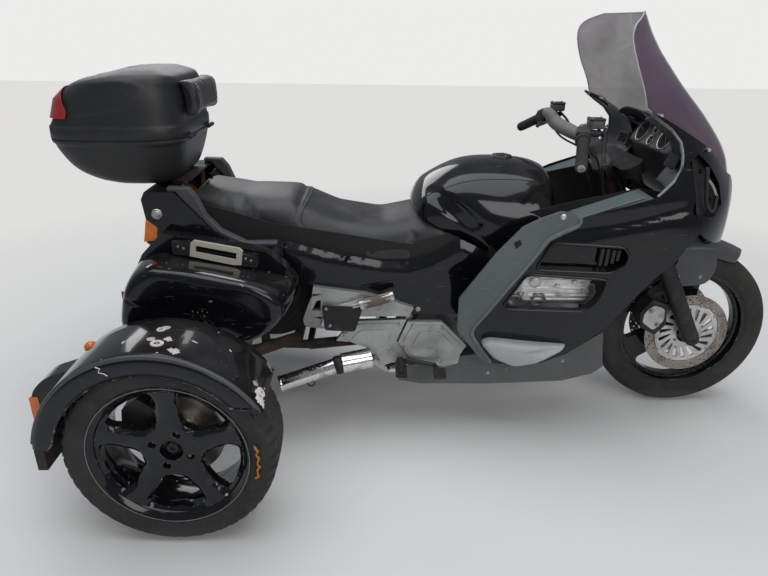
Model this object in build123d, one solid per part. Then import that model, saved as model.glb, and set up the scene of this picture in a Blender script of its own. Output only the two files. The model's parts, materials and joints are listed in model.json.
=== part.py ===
from build123d import *
import math
import os

# A motor trike: a fully faired touring motorcycle with two car wheels at the rear.
# Millimetres, +X forward, +Y to the rider's left, +Z up, wheels standing on z = 0.
# Inside this file x is measured from the front axle; the origin is moved at the end
# to the middle of the machine's footprint.

os.makedirs("parts", exist_ok=True)

# Main sizes
wheelbase = 1722.0
rear_overhang = 464.0
rear_track = 1354.0
rake = 27.5
trail = 100.0
panel = 4.0
fit_gap = 0.3

# Front wheel
front_tyre_radius = 316.5
front_tyre_width = 110.0
front_bead_radius = 229.0
front_flange_radius = 240.5
front_rim_width = 76.0
front_spokes = 3
front_spoke_width = 60.0
front_hub_radius = 34.0
front_hub_width = 120.0
front_axle_radius = 10.0
front_axle_bore = 6.0
disc_radius = 154.0
disc_inner_radius = 120.0
disc_thickness = 5.0
disc_offset = 72.0
disc_holes = 18

# Rear wheels
rear_tyre_radius = 290.5
rear_tyre_width = 195.0
rear_bead_radius = 203.0
rear_flange_radius = 221.0
rear_rim_width = 180.0
rear_spokes = 5
rear_spoke_width = 64.0
rear_hub_radius = 76.0
rear_centre_bore = 32.0
rear_spigot_bore = 29.0
rear_cap_depth = 22.0
rear_bolt_circle = 54.0
rear_bolts = 4
rear_bolt_hole = 7.0
rear_bolt_well = 12.0
rear_disc_radius = 130.0
rear_disc_thickness = 10.0

# Fork and bars
leg_spread = 113.0
leg_radius = 30.0
stanchion_radius = 20.5
stem_radius = 15.0
head_radius = 30.0
lower_clamp_height = 690.0
upper_clamp_height = 915.0
clamp_depth = 34.0
steering_lock = 30.0
grip_radius = 17.0

# Rear end
fender_radius = 325.0
fender_lip = 52.0
fender_inner = 560.0
fender_outer = 785.0
fender_crown = 600.0
axle_tube_radius = 38.0

# Luggage
box_wall = 4.0
box_split = 1035.0
box_belt = 4.0
pannier_split = 300.0
pannier_outer = 480.0
pannier_inner = 250.0

# Places that several pieces share
rear_axle_x = -wheelbase
rear_axle_z = rear_tyre_radius
wheel_y = rear_track / 2
head_axis = Vector(-math.sin(math.radians(rake)), 0, math.cos(math.radians(rake)))
footprint_shift = (wheelbase + rear_overhang - front_tyre_radius) / 2

pieces = {}


def keep(name, *solids):
    """Store the solids of one node, each of them a separate solid."""
    found = []
    for solid in solids:
        found.extend(solid.solids())
    pieces[name] = found


def face(start, *steps):
    """Flat closed face; a step is a point, or the middle and end of an arc."""
    edges = []
    here = start
    for step in steps:
        if isinstance(step[0], tuple):
            edges.append(ThreePointArc(here, step[0], step[1]))
            here = step[1]
        else:
            edges.append(Line(here, step))
            here = step
    if here != start:
        edges.append(Line(here, start))
    return make_face(Curve() + edges)


def slab(start, *steps, y=(0.0, 1.0)):
    """Side outline in x and z, extruded from y[0] to y[1]."""
    low, high = min(y), max(y)
    flat = Plane((0, low, 0), x_dir=(1, 0, 0), z_dir=(0, -1, 0)) * face(start, *steps)
    return extrude(flat, amount=high - low, dir=(0, 1, 0))


def across(start, *steps, half=1000.0):
    """Side outline extruded over the whole width."""
    return slab(start, *steps, y=(-half, half))


def turned(points, x=0.0, y=0.0, z=0.0):
    """Solid of revolution about the Y axis, from (y, radius) points."""
    flat = Plane.YZ * make_face(Polyline(*points, close=True))
    return Pos(x, y, z) * revolve(flat, Axis.Y)


def rod(a, b, radius):
    """Round bar between two points."""
    a, b = Vector(*a), Vector(*b)
    return Solid.make_cylinder(radius, (b - a).length, Plane(origin=a, z_dir=b - a))


def pipe(a, b, radius, bore):
    """Tube between two points."""
    return rod(a, b, radius) - rod(a, b, bore)


def run(points, radius):
    """Round bar through several points, with a ball in each corner."""
    body = rod(points[0], points[1], radius)
    for a, b in zip(points[1:-1], points[2:]):
        body += Pos(*a) * Sphere(radius)
        body += rod(a, b, radius)
    return body


def drum(x, z, radius, y):
    """Disc on the Y axis between two values of y."""
    return rod((x, min(y), z), (x, max(y), z), radius)


def box(x, y, z):
    """Block between pairs of x, y and z."""
    size = [max(pair) - min(pair) for pair in (x, y, z)]
    middle = [(max(pair) + min(pair)) / 2 for pair in (x, y, z)]
    return Pos(*middle) * Box(*size)


def other_side(shape):
    """The same piece on the machine's other side."""
    return mirror(shape, about=Plane.XZ)


def both_sides(shape):
    """A right-hand piece and its left-hand twin."""
    return [shape, other_side(shape)]


def ring(x, low, mid, high, w_low, w_mid, w_high, crown, grow=0.0):
    """Cross-section at x: flat floor, bowed sides and a crowned top."""
    low, high = low - grow, high + grow
    w_low, w_mid, w_high = w_low + grow, w_mid + grow, w_high + grow
    outline = face(
        (-w_low, low),
        (w_low, low),
        ((w_mid, mid), (w_high, high)),
        ((0, high + crown), (-w_high, high)),
        ((-w_mid, mid), (-w_low, low)),
    )
    return Plane((x, 0, 0), x_dir=(0, 1, 0), z_dir=(1, 0, 0)) * outline


def hull(table, grow=0.0, ruled=True):
    """Body lofted through the cross-sections of a table."""
    return loft([ring(*row, grow=grow) for row in table], ruled=ruled)


def on_head_axis(z):
    """Point of the steering axis at a height."""
    return Vector(trail - z * math.tan(math.radians(rake)), 0, z)


def biggest(shape):
    """The largest solid of a shape."""
    return shape.solids().sort_by(SortBy.VOLUME)[-1]


def clear_of(shape, *names):
    """A shape less what it would share with pieces already made."""
    for name in names:
        for solid in pieces[name]:
            shape = shape - solid
    return shape


# Front wheel
def make_front_wheel():
    z = front_tyre_radius
    half = front_tyre_width / 2
    seat = front_rim_width / 2
    bead = front_bead_radius
    crown = front_tyre_radius
    sidewall = (bead + crown) / 2 + 6
    tyre = turned(mirrored_profile([
        (seat, bead), (seat, front_flange_radius + 1),
        (half, sidewall + 4), (half - 10, crown - 18), (half - 30, crown - 5), (0, crown),
    ]))
    keep("front_tyre", Pos(0, 0, z) * tyre)

    lip = front_flange_radius
    wall = 5.0
    barrel = turned([
        (-seat - wall, lip), (-seat, lip), (-seat, bead), (-14, bead), (-8, bead - 12),
        (8, bead - 12), (14, bead), (seat, bead), (seat, lip), (seat + wall, lip),
        (seat + wall, bead - wall), (16, bead - wall), (10, bead - 12 - wall - 3),
        (-10, bead - 12 - wall - 3), (-16, bead - wall), (-seat - wall, bead - wall),
    ])
    dish = turned([
        (-26, front_axle_radius + 0.3), (26, front_axle_radius + 0.3), (26, 60),
        (15, 90), (15, bead - 14), (-15, bead - 14), (-15, 90), (-26, 60),
    ])
    hub = turned([
        (-front_hub_width / 2, front_axle_radius + 0.3),
        (front_hub_width / 2, front_axle_radius + 0.3),
        (front_hub_width / 2, front_hub_radius),
        (-front_hub_width / 2, front_hub_radius),
    ])
    gap = window(front_spokes, front_spoke_width, 62.0, bead - 22, 18.0)
    for i in range(front_spokes):
        dish -= Rot(0, 360 / front_spokes * (i + 0.5), 0) * gap
    keep("front_rim", Pos(0, 0, z) * (barrel + dish + hub))

    rotors = []
    for side in (-1, 1):
        inner = side * disc_offset
        outer = side * (disc_offset + disc_thickness)
        rotor = turned([
            (inner, disc_inner_radius), (outer, disc_inner_radius),
            (outer, disc_radius), (inner, disc_radius),
        ])
        cut = drum(0, 0, 4.0, (inner - 1 * side, outer + 1 * side))
        for i in range(disc_holes):
            reach = disc_radius - 9 - 16 * (i % 2)
            turn = 360 / disc_holes * i
            rotor -= Rot(0, turn, 0) * Pos(reach, 0, 0) * cut
        carrier = turned([
            (side * front_hub_width / 2, front_axle_radius + 6),
            (outer, front_axle_radius + 6), (outer, 66),
            (outer, disc_inner_radius), (inner, disc_inner_radius),
            (inner, 58), (side * front_hub_width / 2, 52),
        ])
        slot = box((80, 108), (inner - 20, inner + 20), (-7, 7))
        for i in range(10):
            carrier -= Rot(0, 36 * i, 0) * slot
        rotors.append(Pos(0, 0, z) * (rotor + carrier))
    keep("front_discs", *rotors)


def mirrored_profile(points):
    """Full profile from its half at positive y."""
    twin = [(-y, r) for y, r in reversed(points) if y > 0]
    return list(points) + twin


def window(count, spoke, inner, outer, corner):
    """Opening between two spokes, pointing up, cut through a wheel's disc."""
    half_turn = math.pi / count
    inner_half = max(inner * math.sin(half_turn) - spoke / 2, 6.0)
    outer_half = outer * math.sin(half_turn) - spoke / 2
    edge = outer * math.cos(math.asin(outer_half / outer))
    flat = make_face(Curve() + [
        Line((-inner_half, inner), (inner_half, inner)),
        Line((inner_half, inner), (outer_half, edge)),
        ThreePointArc((outer_half, edge), (0, outer), (-outer_half, edge)),
        Line((-outer_half, edge), (-inner_half, inner)),
    ])
    flat = fillet(flat.vertices(), min(corner, inner_half * 0.9))
    return extrude(Plane((0, 0, 0), x_dir=(1, 0, 0), z_dir=(0, -1, 0)) * flat, amount=200, both=True)


# Rear wheels
def make_rear_wheels():
    half = rear_tyre_width / 2
    lip = rear_rim_width / 2
    seat = lip - 7.5
    bead = rear_bead_radius
    crown = rear_tyre_radius
    sidewall = (bead + crown) / 2 + 4
    tyre = turned(mirrored_profile([
        (seat, bead), (seat, rear_flange_radius), (lip - 1, rear_flange_radius + 1),
        (half, sidewall), (half - 14, crown - 7), (half * 0.5, crown),
    ]))
    wall = 6.0
    drop = 14.0
    barrel = turned([
        (-lip, rear_flange_radius), (-seat, rear_flange_radius), (-seat, bead), (-40, bead),
        (-26, bead - drop), (26, bead - drop), (40, bead), (seat, bead),
        (seat, rear_flange_radius), (lip, rear_flange_radius), (lip, rear_flange_radius - wall),
        (seat, bead - wall), (44, bead - wall), (28, bead - wall - drop),
        (-28, bead - wall - drop), (-44, bead - wall), (-seat, bead - wall),
        (-lip, rear_flange_radius - wall),
    ])
    face_y = 58.0
    back_y = 22.0
    dish = turned([
        (back_y, rear_spigot_bore), (face_y - rear_cap_depth, rear_spigot_bore),
        (face_y - rear_cap_depth, rear_centre_bore), (face_y, rear_centre_bore), (face_y, rear_hub_radius),
        (lip - 12, bead - 22), (lip - 9, bead - 3), (lip - 28, bead - 3),
        (lip - 38, bead - 26), (back_y, rear_hub_radius),
    ])
    gap = window(rear_spokes, rear_spoke_width, 84.0, bead - 12, 22.0)
    for i in range(rear_spokes):
        dish -= Rot(0, 360 / rear_spokes * (i + 0.5), 0) * gap
    rim = barrel + dish
    for i in range(rear_bolts):
        turn = Rot(0, 360 / rear_bolts * i + 20, 0) * Pos(rear_bolt_circle, 0, 0)
        rim -= turn * drum(0, 0, rear_bolt_hole, (0, 100))
        rim -= turn * drum(0, 0, rear_bolt_well, (face_y - 22, 100))
    disc = turned([
        (back_y, rear_spigot_bore), (back_y, rear_hub_radius), (back_y - 6, rear_hub_radius + 6),
        (back_y - 34, rear_hub_radius + 6), (back_y - 34, rear_disc_radius),
        (back_y - 34 - rear_disc_thickness, rear_disc_radius),
        (back_y - 34 - rear_disc_thickness, rear_hub_radius - 2), (back_y - 8, rear_hub_radius - 2),
        (back_y - 8, rear_spigot_bore),
    ])
    for i in range(rear_bolts):
        turn = Rot(0, 360 / rear_bolts * i + 20, 0) * Pos(rear_bolt_circle, 0, 0)
        disc -= turn * drum(0, 0, rear_bolt_hole, (-100, 100))
    for side, name in ((-1, "right"), (1, "left")):
        place = Pos(rear_axle_x, side * wheel_y, rear_axle_z)
        for node, shape in (("tyre", tyre), ("rim", rim), ("disc", disc)):
            turned_out = shape if side > 0 else other_side(shape)
            keep(f"rear_{node}_{name}", place * turned_out)


# Fork, clamps and front axle
def leg_point(z, side):
    """Point on a fork leg's centre line at a height."""
    back = (z - front_tyre_radius) * math.tan(math.radians(rake))
    return (-back, side * leg_spread, z)


def make_fork():
    body = None
    for side in (-1, 1):
        lower = rod(leg_point(front_tyre_radius, side), leg_point(600, side), leg_radius)
        upper = rod(leg_point(598, side), leg_point(upper_clamp_height + 36, side), stanchion_radius)
        leg = lower + upper + drum(0, front_tyre_radius, 24, (side * 82, side * 132))
        body = leg if body is None else body + leg
    body += rod((0, -136, front_tyre_radius), (0, 136, front_tyre_radius), front_axle_radius)
    lead = (on_head_axis(lower_clamp_height) - Vector(*leg_point(lower_clamp_height, 0))).length
    ahead = lead * math.cos(math.radians(rake))
    for height in (lower_clamp_height, upper_clamp_height):
        base = Plane(origin=on_head_axis(height), x_dir=(0, 1, 0), z_dir=head_axis)
        bridge = base * Pos(0, -ahead, 0) * RectangleRounded(2 * leg_spread + 76, 74, 30)
        neck = base * Circle(34)
        middle = base * Pos(0, -ahead / 2, 0) * Rectangle(110, ahead + 20)
        plate = bridge + neck + middle
        body += extrude(plate, amount=clamp_depth / 2, both=True)
    stem_low = on_head_axis(lower_clamp_height)
    stem_high = on_head_axis(upper_clamp_height)
    body += rod(stem_low, stem_high, stem_radius)
    bore_end = leg_spread + leg_radius + 2
    body -= rod((0, -bore_end, front_tyre_radius), (0, bore_end, front_tyre_radius), front_axle_bore)
    keep("fork", body)


def grip_ends(side):
    """Inner and outer centre of a handlebar grip."""
    return Vector(-546, side * 250, 1055), Vector(-585, side * 380, 1002)


def make_handlebar():
    top = on_head_axis(upper_clamp_height) + head_axis * (clamp_depth / 2)
    body = rod(top, top + head_axis * 26, 30)
    middle = top + head_axis * 60
    body += run([top + head_axis * 10, middle], 24)
    for side in (-1, 1):
        inner, outer = grip_ends(side)
        along = (outer - inner).normalized()
        elbow = Vector(middle.X - 62, side * 96, middle.Z + 44)
        body += run([middle, elbow, inner - along * 40, inner, outer], 11.0)
        body += rod(middle, elbow, 24) + Pos(*elbow) * Sphere(24)
        body += rod(elbow, inner - along * 56, 24)
        body += rod(inner - along * 58, inner - along * 4, 21)
        pivot = inner - along * 30 + Vector(40, 0, 4)
        tip = outer + Vector(66, 0, 4)
        body += rod(inner - along * 30, pivot, 11) + run([pivot, pivot + Vector(14, side * 10, 0), tip], 6.5)
    for side in (-1, 1):
        inner, outer = grip_ends(side)
        along = (outer - inner).normalized()
        tank_at = inner - along * 46 + Vector(34, 0, 34)
        body += box((tank_at.X - 24, tank_at.X + 24), (tank_at.Y - 26, tank_at.Y + 26), (tank_at.Z - 20, tank_at.Z + 16))
        body += rod(inner - along * 30, tank_at, 12)
    keep("handlebar", body)
    grips = []
    for side in (-1, 1):
        inner, outer = grip_ends(side)
        along = (outer - inner).normalized()
        grip = rod(inner, outer + along * 8, grip_radius) + rod(inner, inner + along * 7, grip_radius + 5)
        grips.append(grip - rod(inner - along * 5, outer, 11.0))
    keep("grips", *grips)


# Front mudguard
def make_front_mudguard():
    reach = front_tyre_radius + 28
    body = turned([
        (-66, reach - 46), (-66, reach - 12), (-50, reach + 2), (0, reach + 12), (50, reach + 2),
        (66, reach - 12), (66, reach - 46), (62, reach - 46), (62, reach - 14), (48, reach - 2),
        (0, reach + 8), (-48, reach - 2), (-62, reach - 14), (-62, reach - 46),
    ], 0, 0, front_tyre_radius)
    wedge = across((-96, 566), (-140, 800), (200, 800), (152, 598), (128, 588))
    body = body & wedge
    for side in (-1, 1):
        body += slab((-94, 560), (-60, 640), (60, 640), (66, 560), (40, 512), (-66, 500), y=(side * 62, side * 66))
        body += rod((-80, side * 70, 540), Vector(*leg_point(545, side)), 10)
    keep("front_mudguard", body - pieces["fork"][0])


def make_front_calipers():
    solids = []
    for side in (-1, 1):
        disc_y = disc_offset + disc_thickness / 2
        body = slab(
            (-196, 362), (-140, 330), (-104, 372), (-112, 452), (-168, 470), (-206, 420),
            y=(side * (disc_y - 25), side * (disc_y + 44)),
        )
        body -= drum(0, front_tyre_radius, disc_radius + 5, (side * (disc_y - 8), side * (disc_y + 8)))
        body += rod((-112, side * (disc_y + 20), 440), (-60, side * (disc_y + 20), 452), 10)
        solids.append(biggest(body - pieces["fork"][0]))
    keep("front_calipers", *solids)


# Frame, engine and axle
def make_frame():
    low = on_head_axis(lower_clamp_height) + head_axis * (clamp_depth / 2 + 1)
    high = on_head_axis(upper_clamp_height) - head_axis * (clamp_depth / 2 + 1)
    body = rod(low, high, head_radius)
    spar_top = on_head_axis(780)
    for side in (-1, 1):
        knee = (-500, side * 150, 672)
        pivot = (-1000, side * 175, 640)
        body += run([(spar_top.X, 0, 780), knee, pivot, (-1030, side * 175, 440)], 19)
        body += run([(-1030, side * 175, 440), (-1180, side * 150, 330), (-1400, side * 140, 300)], 19)
        body += run([pivot, (-1200, side * 130, 655), (-1500, side * 118, 672), (-1790, side * 110, 740)], 13)
        body += run([(-1030, side * 175, 470), (-1500, side * 118, 672)], 13)
        body += run([(-1400, side * 140, 300), (-1560, side * 130, 300), (-1560, side * 118, 680)], 16)
        body += rod((-620, side * 150, 664), (-620, side * 150, 600), 14)
        body += rod((-700, side * 158, 672), (-700, side * 122, 716), 10)
    for x, half, z in ((-1030, 175, 440), (-1500, 118, 672), (-1400, 140, 300), (-1000, 175, 640), (-1770, 112, 735)):
        body += rod((x, -half, z), (x, half, z), 12)
    body += rod((-1000, 0, 640), (-1000, 0, 718), 12)
    body -= rod(on_head_axis(500), on_head_axis(1000), stem_radius + fit_gap)
    keep("frame", body)


def make_engine():
    block = slab(
        (-430, 240), (-440, 500), (-470, 612), (-700, 618), (-740, 560), (-985, 540), (-985, 250),
        (-900, 205), (-560, 205), y=(-125, 125),
    )
    heads = slab((-450, 515), (-455, 600), (-715, 600), (-720, 515), y=(-208, 208))
    case = slab((-760, 250), (-760, 470), (-1040, 470), (-1040, 250), y=(-150, 150))
    keep("engine", clear_of(block + heads + case, "frame"))
    covers = []
    cover = slab(
        (-726, 522), (-726, 560), (-652, 598), (-448, 594), (-436, 552), (-440, 520),
        y=(-208, -262),
    )
    cap = slab((-700, 534), (-690, 568), (-640, 586), (-470, 582), (-460, 534), y=(-262, -276))
    cover += cap
    for i in range(3):
        cover += box((-690 + 8, -470), (-276, -282), (540 + 14 * i, 545 + 14 * i))
    for x in (-676, -484):
        cover += drum(x, 577 if x > -600 else 560, 9, (-262, -284))
    covers = both_sides(cover)
    keep("valve_covers", *covers)


def make_radiator():
    core = box((-392, -356), (-165, 165), (330, 640))
    tanks = [box((-396, -352), (side * 165, side * 190), (322, 648)) for side in (-1, 1)]
    cap = rod((-374, 120, 636), (-374, 120, 668), 18)
    body = core + tanks[0] + tanks[1] + cap
    arms = [rod((-390, side * 150, 560), (-456, side * 150, 560), 8) for side in (-1, 1)]
    body = clear_of(body + arms[0] + arms[1], "frame", "engine")
    keep("radiator", body)


def make_rear_axle():
    z = rear_axle_z
    inner_y = wheel_y + 22 - 8 - 0.5
    body = rod((rear_axle_x, -wheel_y + 60, z), (rear_axle_x, wheel_y - 60, z), axle_tube_radius)
    for side in (-1, 1):
        body += drum(rear_axle_x, z, 62, (side * (wheel_y - 70), side * (wheel_y - 40)))
        body += drum(rear_axle_x, z, 44, (side * (wheel_y - 42), side * inner_y))
        body += drum(rear_axle_x, z, rear_spigot_bore - fit_gap, (side * (inner_y - 2), side * (wheel_y + 34)))
        arm_y = side * 400
        body += slab(
            (rear_axle_x - 60, z - 50), (rear_axle_x + 60, z - 50), (rear_axle_x + 50, z + 60),
            (rear_axle_x - 50, z + 60), y=(arm_y - 14, arm_y + 14),
        )
    body += box((rear_axle_x - 80, rear_axle_x + 80), (-120, 120), (z - 70, z + 78))
    keep("rear_axle", body)
    calipers = []
    for side in (-1, 1):
        disc_in = wheel_y + 22 - 34 - rear_disc_thickness
        shape = slab(
            (rear_axle_x - 150, z + 20), (rear_axle_x - 64, z + 30), (rear_axle_x - 40, z + 90),
            (rear_axle_x - 96, z + 132), (rear_axle_x - 140, z + 96),
            y=(side * (disc_in - 40), side * (disc_in + 28)),
        )
        shape -= drum(rear_axle_x, z, rear_disc_radius + 5, (side * (disc_in - 5), side * (disc_in + rear_disc_thickness + 5)))
        shape -= drum(rear_axle_x, z, 88, (side * (disc_in - 5), side * (disc_in + 60)))
        shape += rod((rear_axle_x - 80, side * (disc_in - 30), z + 50), (rear_axle_x - 40, side * (disc_in - 30), z + 20), 12)
        calipers.append(shape - pieces["rear_axle"][0])
    keep("rear_calipers", *calipers)


def make_cradle():
    z = rear_axle_z
    top = z + 92
    body = None
    for side in (-1, 1):
        hip = (rear_axle_x - 20, side * 412, top)
        tail = (rear_axle_x - 330, side * 430, top)
        leg = run([hip, (rear_axle_x + 180, side * 330, top), (-1440, side * 140, 330)], 20)
        leg += rod(hip, (rear_axle_x - 20, side * 412, z + 58), 20)
        leg += rod(hip, tail, 12) + Pos(*tail) * Sphere(12)
        leg += run([hip, (rear_axle_x - 20, side * 540, top + 20), (rear_axle_x - 20, side * 562, fender_crown - 14)], 10)
        leg += run([tail, (rear_axle_x - 326, side * 600, z + 10), (rear_axle_x - 326, side * 690, z + 8)], 10)
        leg += box(
            (rear_axle_x - 346, rear_axle_x - 320), (side * 640, side * (fender_outer - 12)), (z - 34, z + 46),
        )
        body = leg if body is None else body + leg
    body += rod((rear_axle_x - 20, -412, top), (rear_axle_x - 20, 412, top), 20)
    body += rod((-1440, -140, 330), (-1440, 140, 330), 18)
    body = body - pieces["frame"][0] - pieces["rear_axle"][0]
    keep("axle_cradle", body.solids().sort_by(SortBy.VOLUME)[-1])


# Rear fenders and rear body
def make_rear_fenders():
    arc_x, arc_z = rear_axle_x - 23, rear_axle_z - 10.5
    crown = fender_radius + 6
    inner, outer = -fender_inner, -fender_outer
    shell = turned([
        (inner, crown - 34), (inner, crown), (outer + 15, crown), (outer + 4, crown - 4),
        (outer, fender_radius - 7), (outer, fender_radius - fender_lip),
        (outer + panel, fender_radius - fender_lip), (outer + panel, fender_radius - 9),
        (outer + 7, crown - 9), (outer + 17, crown - panel), (inner - panel, crown - panel),
        (inner - panel, crown - 34),
    ], arc_x, 0, arc_z)

    def sector(start, end, y):
        """Wedge of the fender's circle between two angles."""
        reach = 900.0
        turns = [math.radians(start + (end - start) * i / 4) for i in range(5)]
        rim = [(arc_x + reach * math.cos(t), arc_z + reach * math.sin(t)) for t in turns]
        return slab((arc_x, arc_z), *rim, y=y)

    shell = shell & sector(30, 171, (-1000, -500))
    shell = shell - sector(10, 36, (outer - 10, outer + 9))
    keep("rear_fenders", *both_sides(biggest(shell)))
    keep("axle_cradle", biggest(clear_of(pieces["axle_cradle"][0], "rear_fenders")))


def make_lamp_pods():
    outer, inner = -fender_inner, -488.0
    pod = slab(
        (-2030, 446), (-2084, 426), ((-2135, 402), (-2168, 366)), ((-2178, 330), (-2170, 284)),
        (-2158, 266), (-2090, 280), (-2045, 330), y=(outer, inner),
    )
    lens = slab(
        (-2174, 350), ((-2184, 325), (-2181, 296)), (-2170, 266), (-2158, 270), (-2163, 300), (-2166, 335),
        y=(outer + 6, inner - 6),
    )
    pod = clear_of(pod - lens, "axle_cradle", "rear_fenders")
    keep("lamp_pods", *both_sides(biggest(pod)))
    keep("marker_lamps", *both_sides(lens))


# Bodywork
hull_table = [
    # x, low, mid, high, w_low, w_mid, w_high, crown
    (-900, 290, 560, 900, 262, 312, 250, 20),
    (-700, 290, 560, 960, 275, 328, 262, 20),
    (-560, 295, 600, 1060, 280, 340, 270, 20),
    (-430, 310, 680, 1190, 275, 352, 268, 20),
    (-300, 350, 720, 1150, 258, 358, 268, 20),
    (-170, 420, 760, 1070, 218, 342, 240, 20),
    (-60, 560, 800, 985, 140, 256, 172, 20),
    (20, 690, 805, 927, 62, 128, 88, 14),
    (70, 742, 792, 856, 24, 48, 28, 5),
]
nose_tip = hull_table[-1][0]


tank_table = [
    (-1046, 715, 790, 822, 112, 150, 105, 14),
    (-990, 712, 810, 866, 130, 178, 118, 24),
    (-880, 700, 820, 912, 150, 204, 135, 33),
    (-760, 655, 810, 922, 196, 216, 140, 36),
    (-640, 640, 800, 912, 200, 210, 132, 34),
    (-560, 655, 800, 884, 170, 186, 120, 28),
]
seat_table = [
    # the passenger's end first
    (-1775, 800, 842, 868, 92, 128, 96, 12),
    (-1700, 742, 800, 850, 118, 160, 118, 12),
    (-1600, 690, 765, 830, 130, 186, 132, 14),
    (-1440, 652, 740, 824, 150, 196, 138, 16),
    (-1300, 622, 700, 764, 172, 196, 138, 18),
    (-1150, 604, 690, 742, 178, 194, 132, 13),
    (-1040, 604, 690, 766, 178, 193, 126, 18),
    (-940, 646, 730, 800, 176, 197, 120, 14),
    (-872, 700, 716, 742, 188, 198, 120, 8),
]
def hull_skin(outline, wall=panel, out=0.0):
    """Part of the fairing's skin, cut from the body by an outline."""
    hollow = hull(hull_table, grow=out - wall) & box((-1200, nose_tip - wall), (-500, 500), (0, 1500))
    return (hull(hull_table, grow=out) & outline) - hollow


side_outline = [
    (-556, 826), (-470, 862), (-331, 906), (-285, 950), (-262, 1000), (-262, 1054), (-200, 930),
    (-150, 860), (-140, 815), (-177, 800), (-215, 754), (-254, 685), (-285, 662), (-331, 600),
    (-405, 470), (-455, 412), (-518, 350), (-600, 306), (-690, 297), (-775, 300), (-808, 362),
    (-846, 425), (-842, 454), (-804, 515), (-750, 600), (-681, 700), (-634, 769), (-562, 812),
]


def make_fairing():
    outboard = box((-1200, 300), (-600, -205), (0, 1500))
    upper_vent = across((-623, 756), (-408, 752), (-388, 723), (-396, 694), (-431, 665), (-669, 667))
    lower_vent = across(
        (-692, 652), (-438, 644), (-454, 569), (-485, 533), (-508, 525), (-740, 527), (-757, 540),
    )
    panel_right = hull_skin(across(*side_outline) & outboard) - upper_vent - lower_vent
    keep("side_fairings", *both_sides(biggest(panel_right)))

    band = across(
        (-546, 834), (-552, 806), (-630, 763), (-677, 694), (-746, 596), (-800, 512), (-838, 454),
        (-840, 424), (-804, 366), (-764, 308),
        (-777, 300), (-808, 323), (-896, 446), (-898, 562), (-846, 638), (-792, 715), (-715, 800),
        (-662, 846), (-608, 881), (-552, 880),
    )
    trim = clear_of(hull_skin(band & outboard, panel + 5, 5.0), "side_fairings")
    keep("fairing_trims", *both_sides(biggest(trim)))

    nose = across(
        (-427, 1182), (-335, 1138), (-173, 1043), (-60, 952), (0, 925), (60, 880), (120, 840), (120, 746),
        (25, 735), (-40, 733), (-110, 752), (-165, 780), (-190, 802), (-150, 817), (-165, 861), (-215, 931), (-264, 1040),
        (-268, 1060), (-301, 1100), (-403, 1168),
    )
    cowl = clear_of(hull_skin(nose), "side_fairings")
    front = box((-60, 200), (-200, 200), (700, 900))
    glass = extrude(Plane.YZ * Pos(0, 822) * RectangleRounded(300, 92, 30), amount=400, dir=(1, 0, 0))
    keep("nose_cowl", biggest(cowl - (glass & front)))
    seat = extrude(Plane.YZ * Pos(0, 822) * RectangleRounded(299.4, 91.4, 30), amount=400, dir=(1, 0, 0))
    keep("headlamp", biggest(hull_skin(seat & front, panel, -0.5)))


screen_table = [
    # height, centre x, edge x, half width at the edge
    (875, 57, -100, 146),
    (905, 42, -140, 165),
    (1000, -4, -265, 230),
    (1100, -84, -352, 257),
    (1200, -182, -391, 264),
    (1250, -228, -415, 268),
    (1300, -272, -435, 264),
    (1345, -305, -446, 256),
    (1375, -325, -440, 250),
    (1395, -338, -418, 228),
    (1412, -346, -388, 165),
]
screw_points = [
    # x, height
    (-335, 1131),
    (-173, 1034),
]


def make_windscreen():
    def crescent(z, centre, edge, half, thick):
        outer = ThreePointArc((edge, -half), (centre, 0), (edge, half))
        inner = ThreePointArc((edge, half - thick), (centre - thick, 0), (edge, -half + thick))
        flat = make_face(Curve() + [
            outer, Line((edge, half), (edge, half - thick)), inner,
            Line((edge, -half + thick), (edge, -half)),
        ])
        return Pos(0, 0, z) * flat
    sheet = loft([crescent(*row, panel) for row in screen_table], ruled=True)
    sheet -= across(
        (-700, 1177), (-440, 1177), (-427, 1166), (-335, 1122), (-173, 1027), (-60, 936), (0, 909),
        (60, 864), (200, 844), (200, 700), (-700, 700),
    )
    screws = [rod((x, side * 205, z), (x, side * 281, z), 5) for x, z in screw_points for side in (-1, 1)]
    sheet = biggest(clear_of(sheet, "nose_cowl"))
    cowl = pieces["nose_cowl"][0]
    for screw in screws:
        sheet = sheet - screw
        cowl = cowl - screw
    keep("windscreen", sheet)
    keep("nose_cowl", biggest(cowl))
    keep("screen_screws", *screws)


def make_belly_pan():
    half = 215.0
    block = slab(
        (-1080, 196), (-1000, 182), (-752, 182), (-493, 194), (-388, 224), (-352, 252), (-372, 392),
        (-454, 330), (-538, 285), (-669, 288), (-752, 300), (-800, 302), (-900, 290), (-1075, 250),
        y=(-half, half),
    )
    inner = slab(
        (-1090, 202), (-1000, 187), (-752, 187), (-493, 199), (-390, 229), (-340, 262), (-372, 400),
        (-454, 345), (-1090, 345), y=(-half + 5, half - 5),
    )
    pan = block - inner
    for x in (-620, -860):
        pan += rod((x, 0, 184), (x, 0, 208), 12)
    keep("belly_pan", clear_of(pan, "engine"))
    guard = slab(
        (-815, 398), (-545, 409), ((-531, 403), (-536, 388)), ((-571, 359), (-646, 336)),
        ((-690, 331), (-735, 337)), ((-790, 360), (-815, 398)), y=(-255, -345),
    )
    guard = clear_of(guard - hull(hull_table), "fairing_trims")
    keep("tip_over_guards", *both_sides(biggest(guard)))


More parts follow.
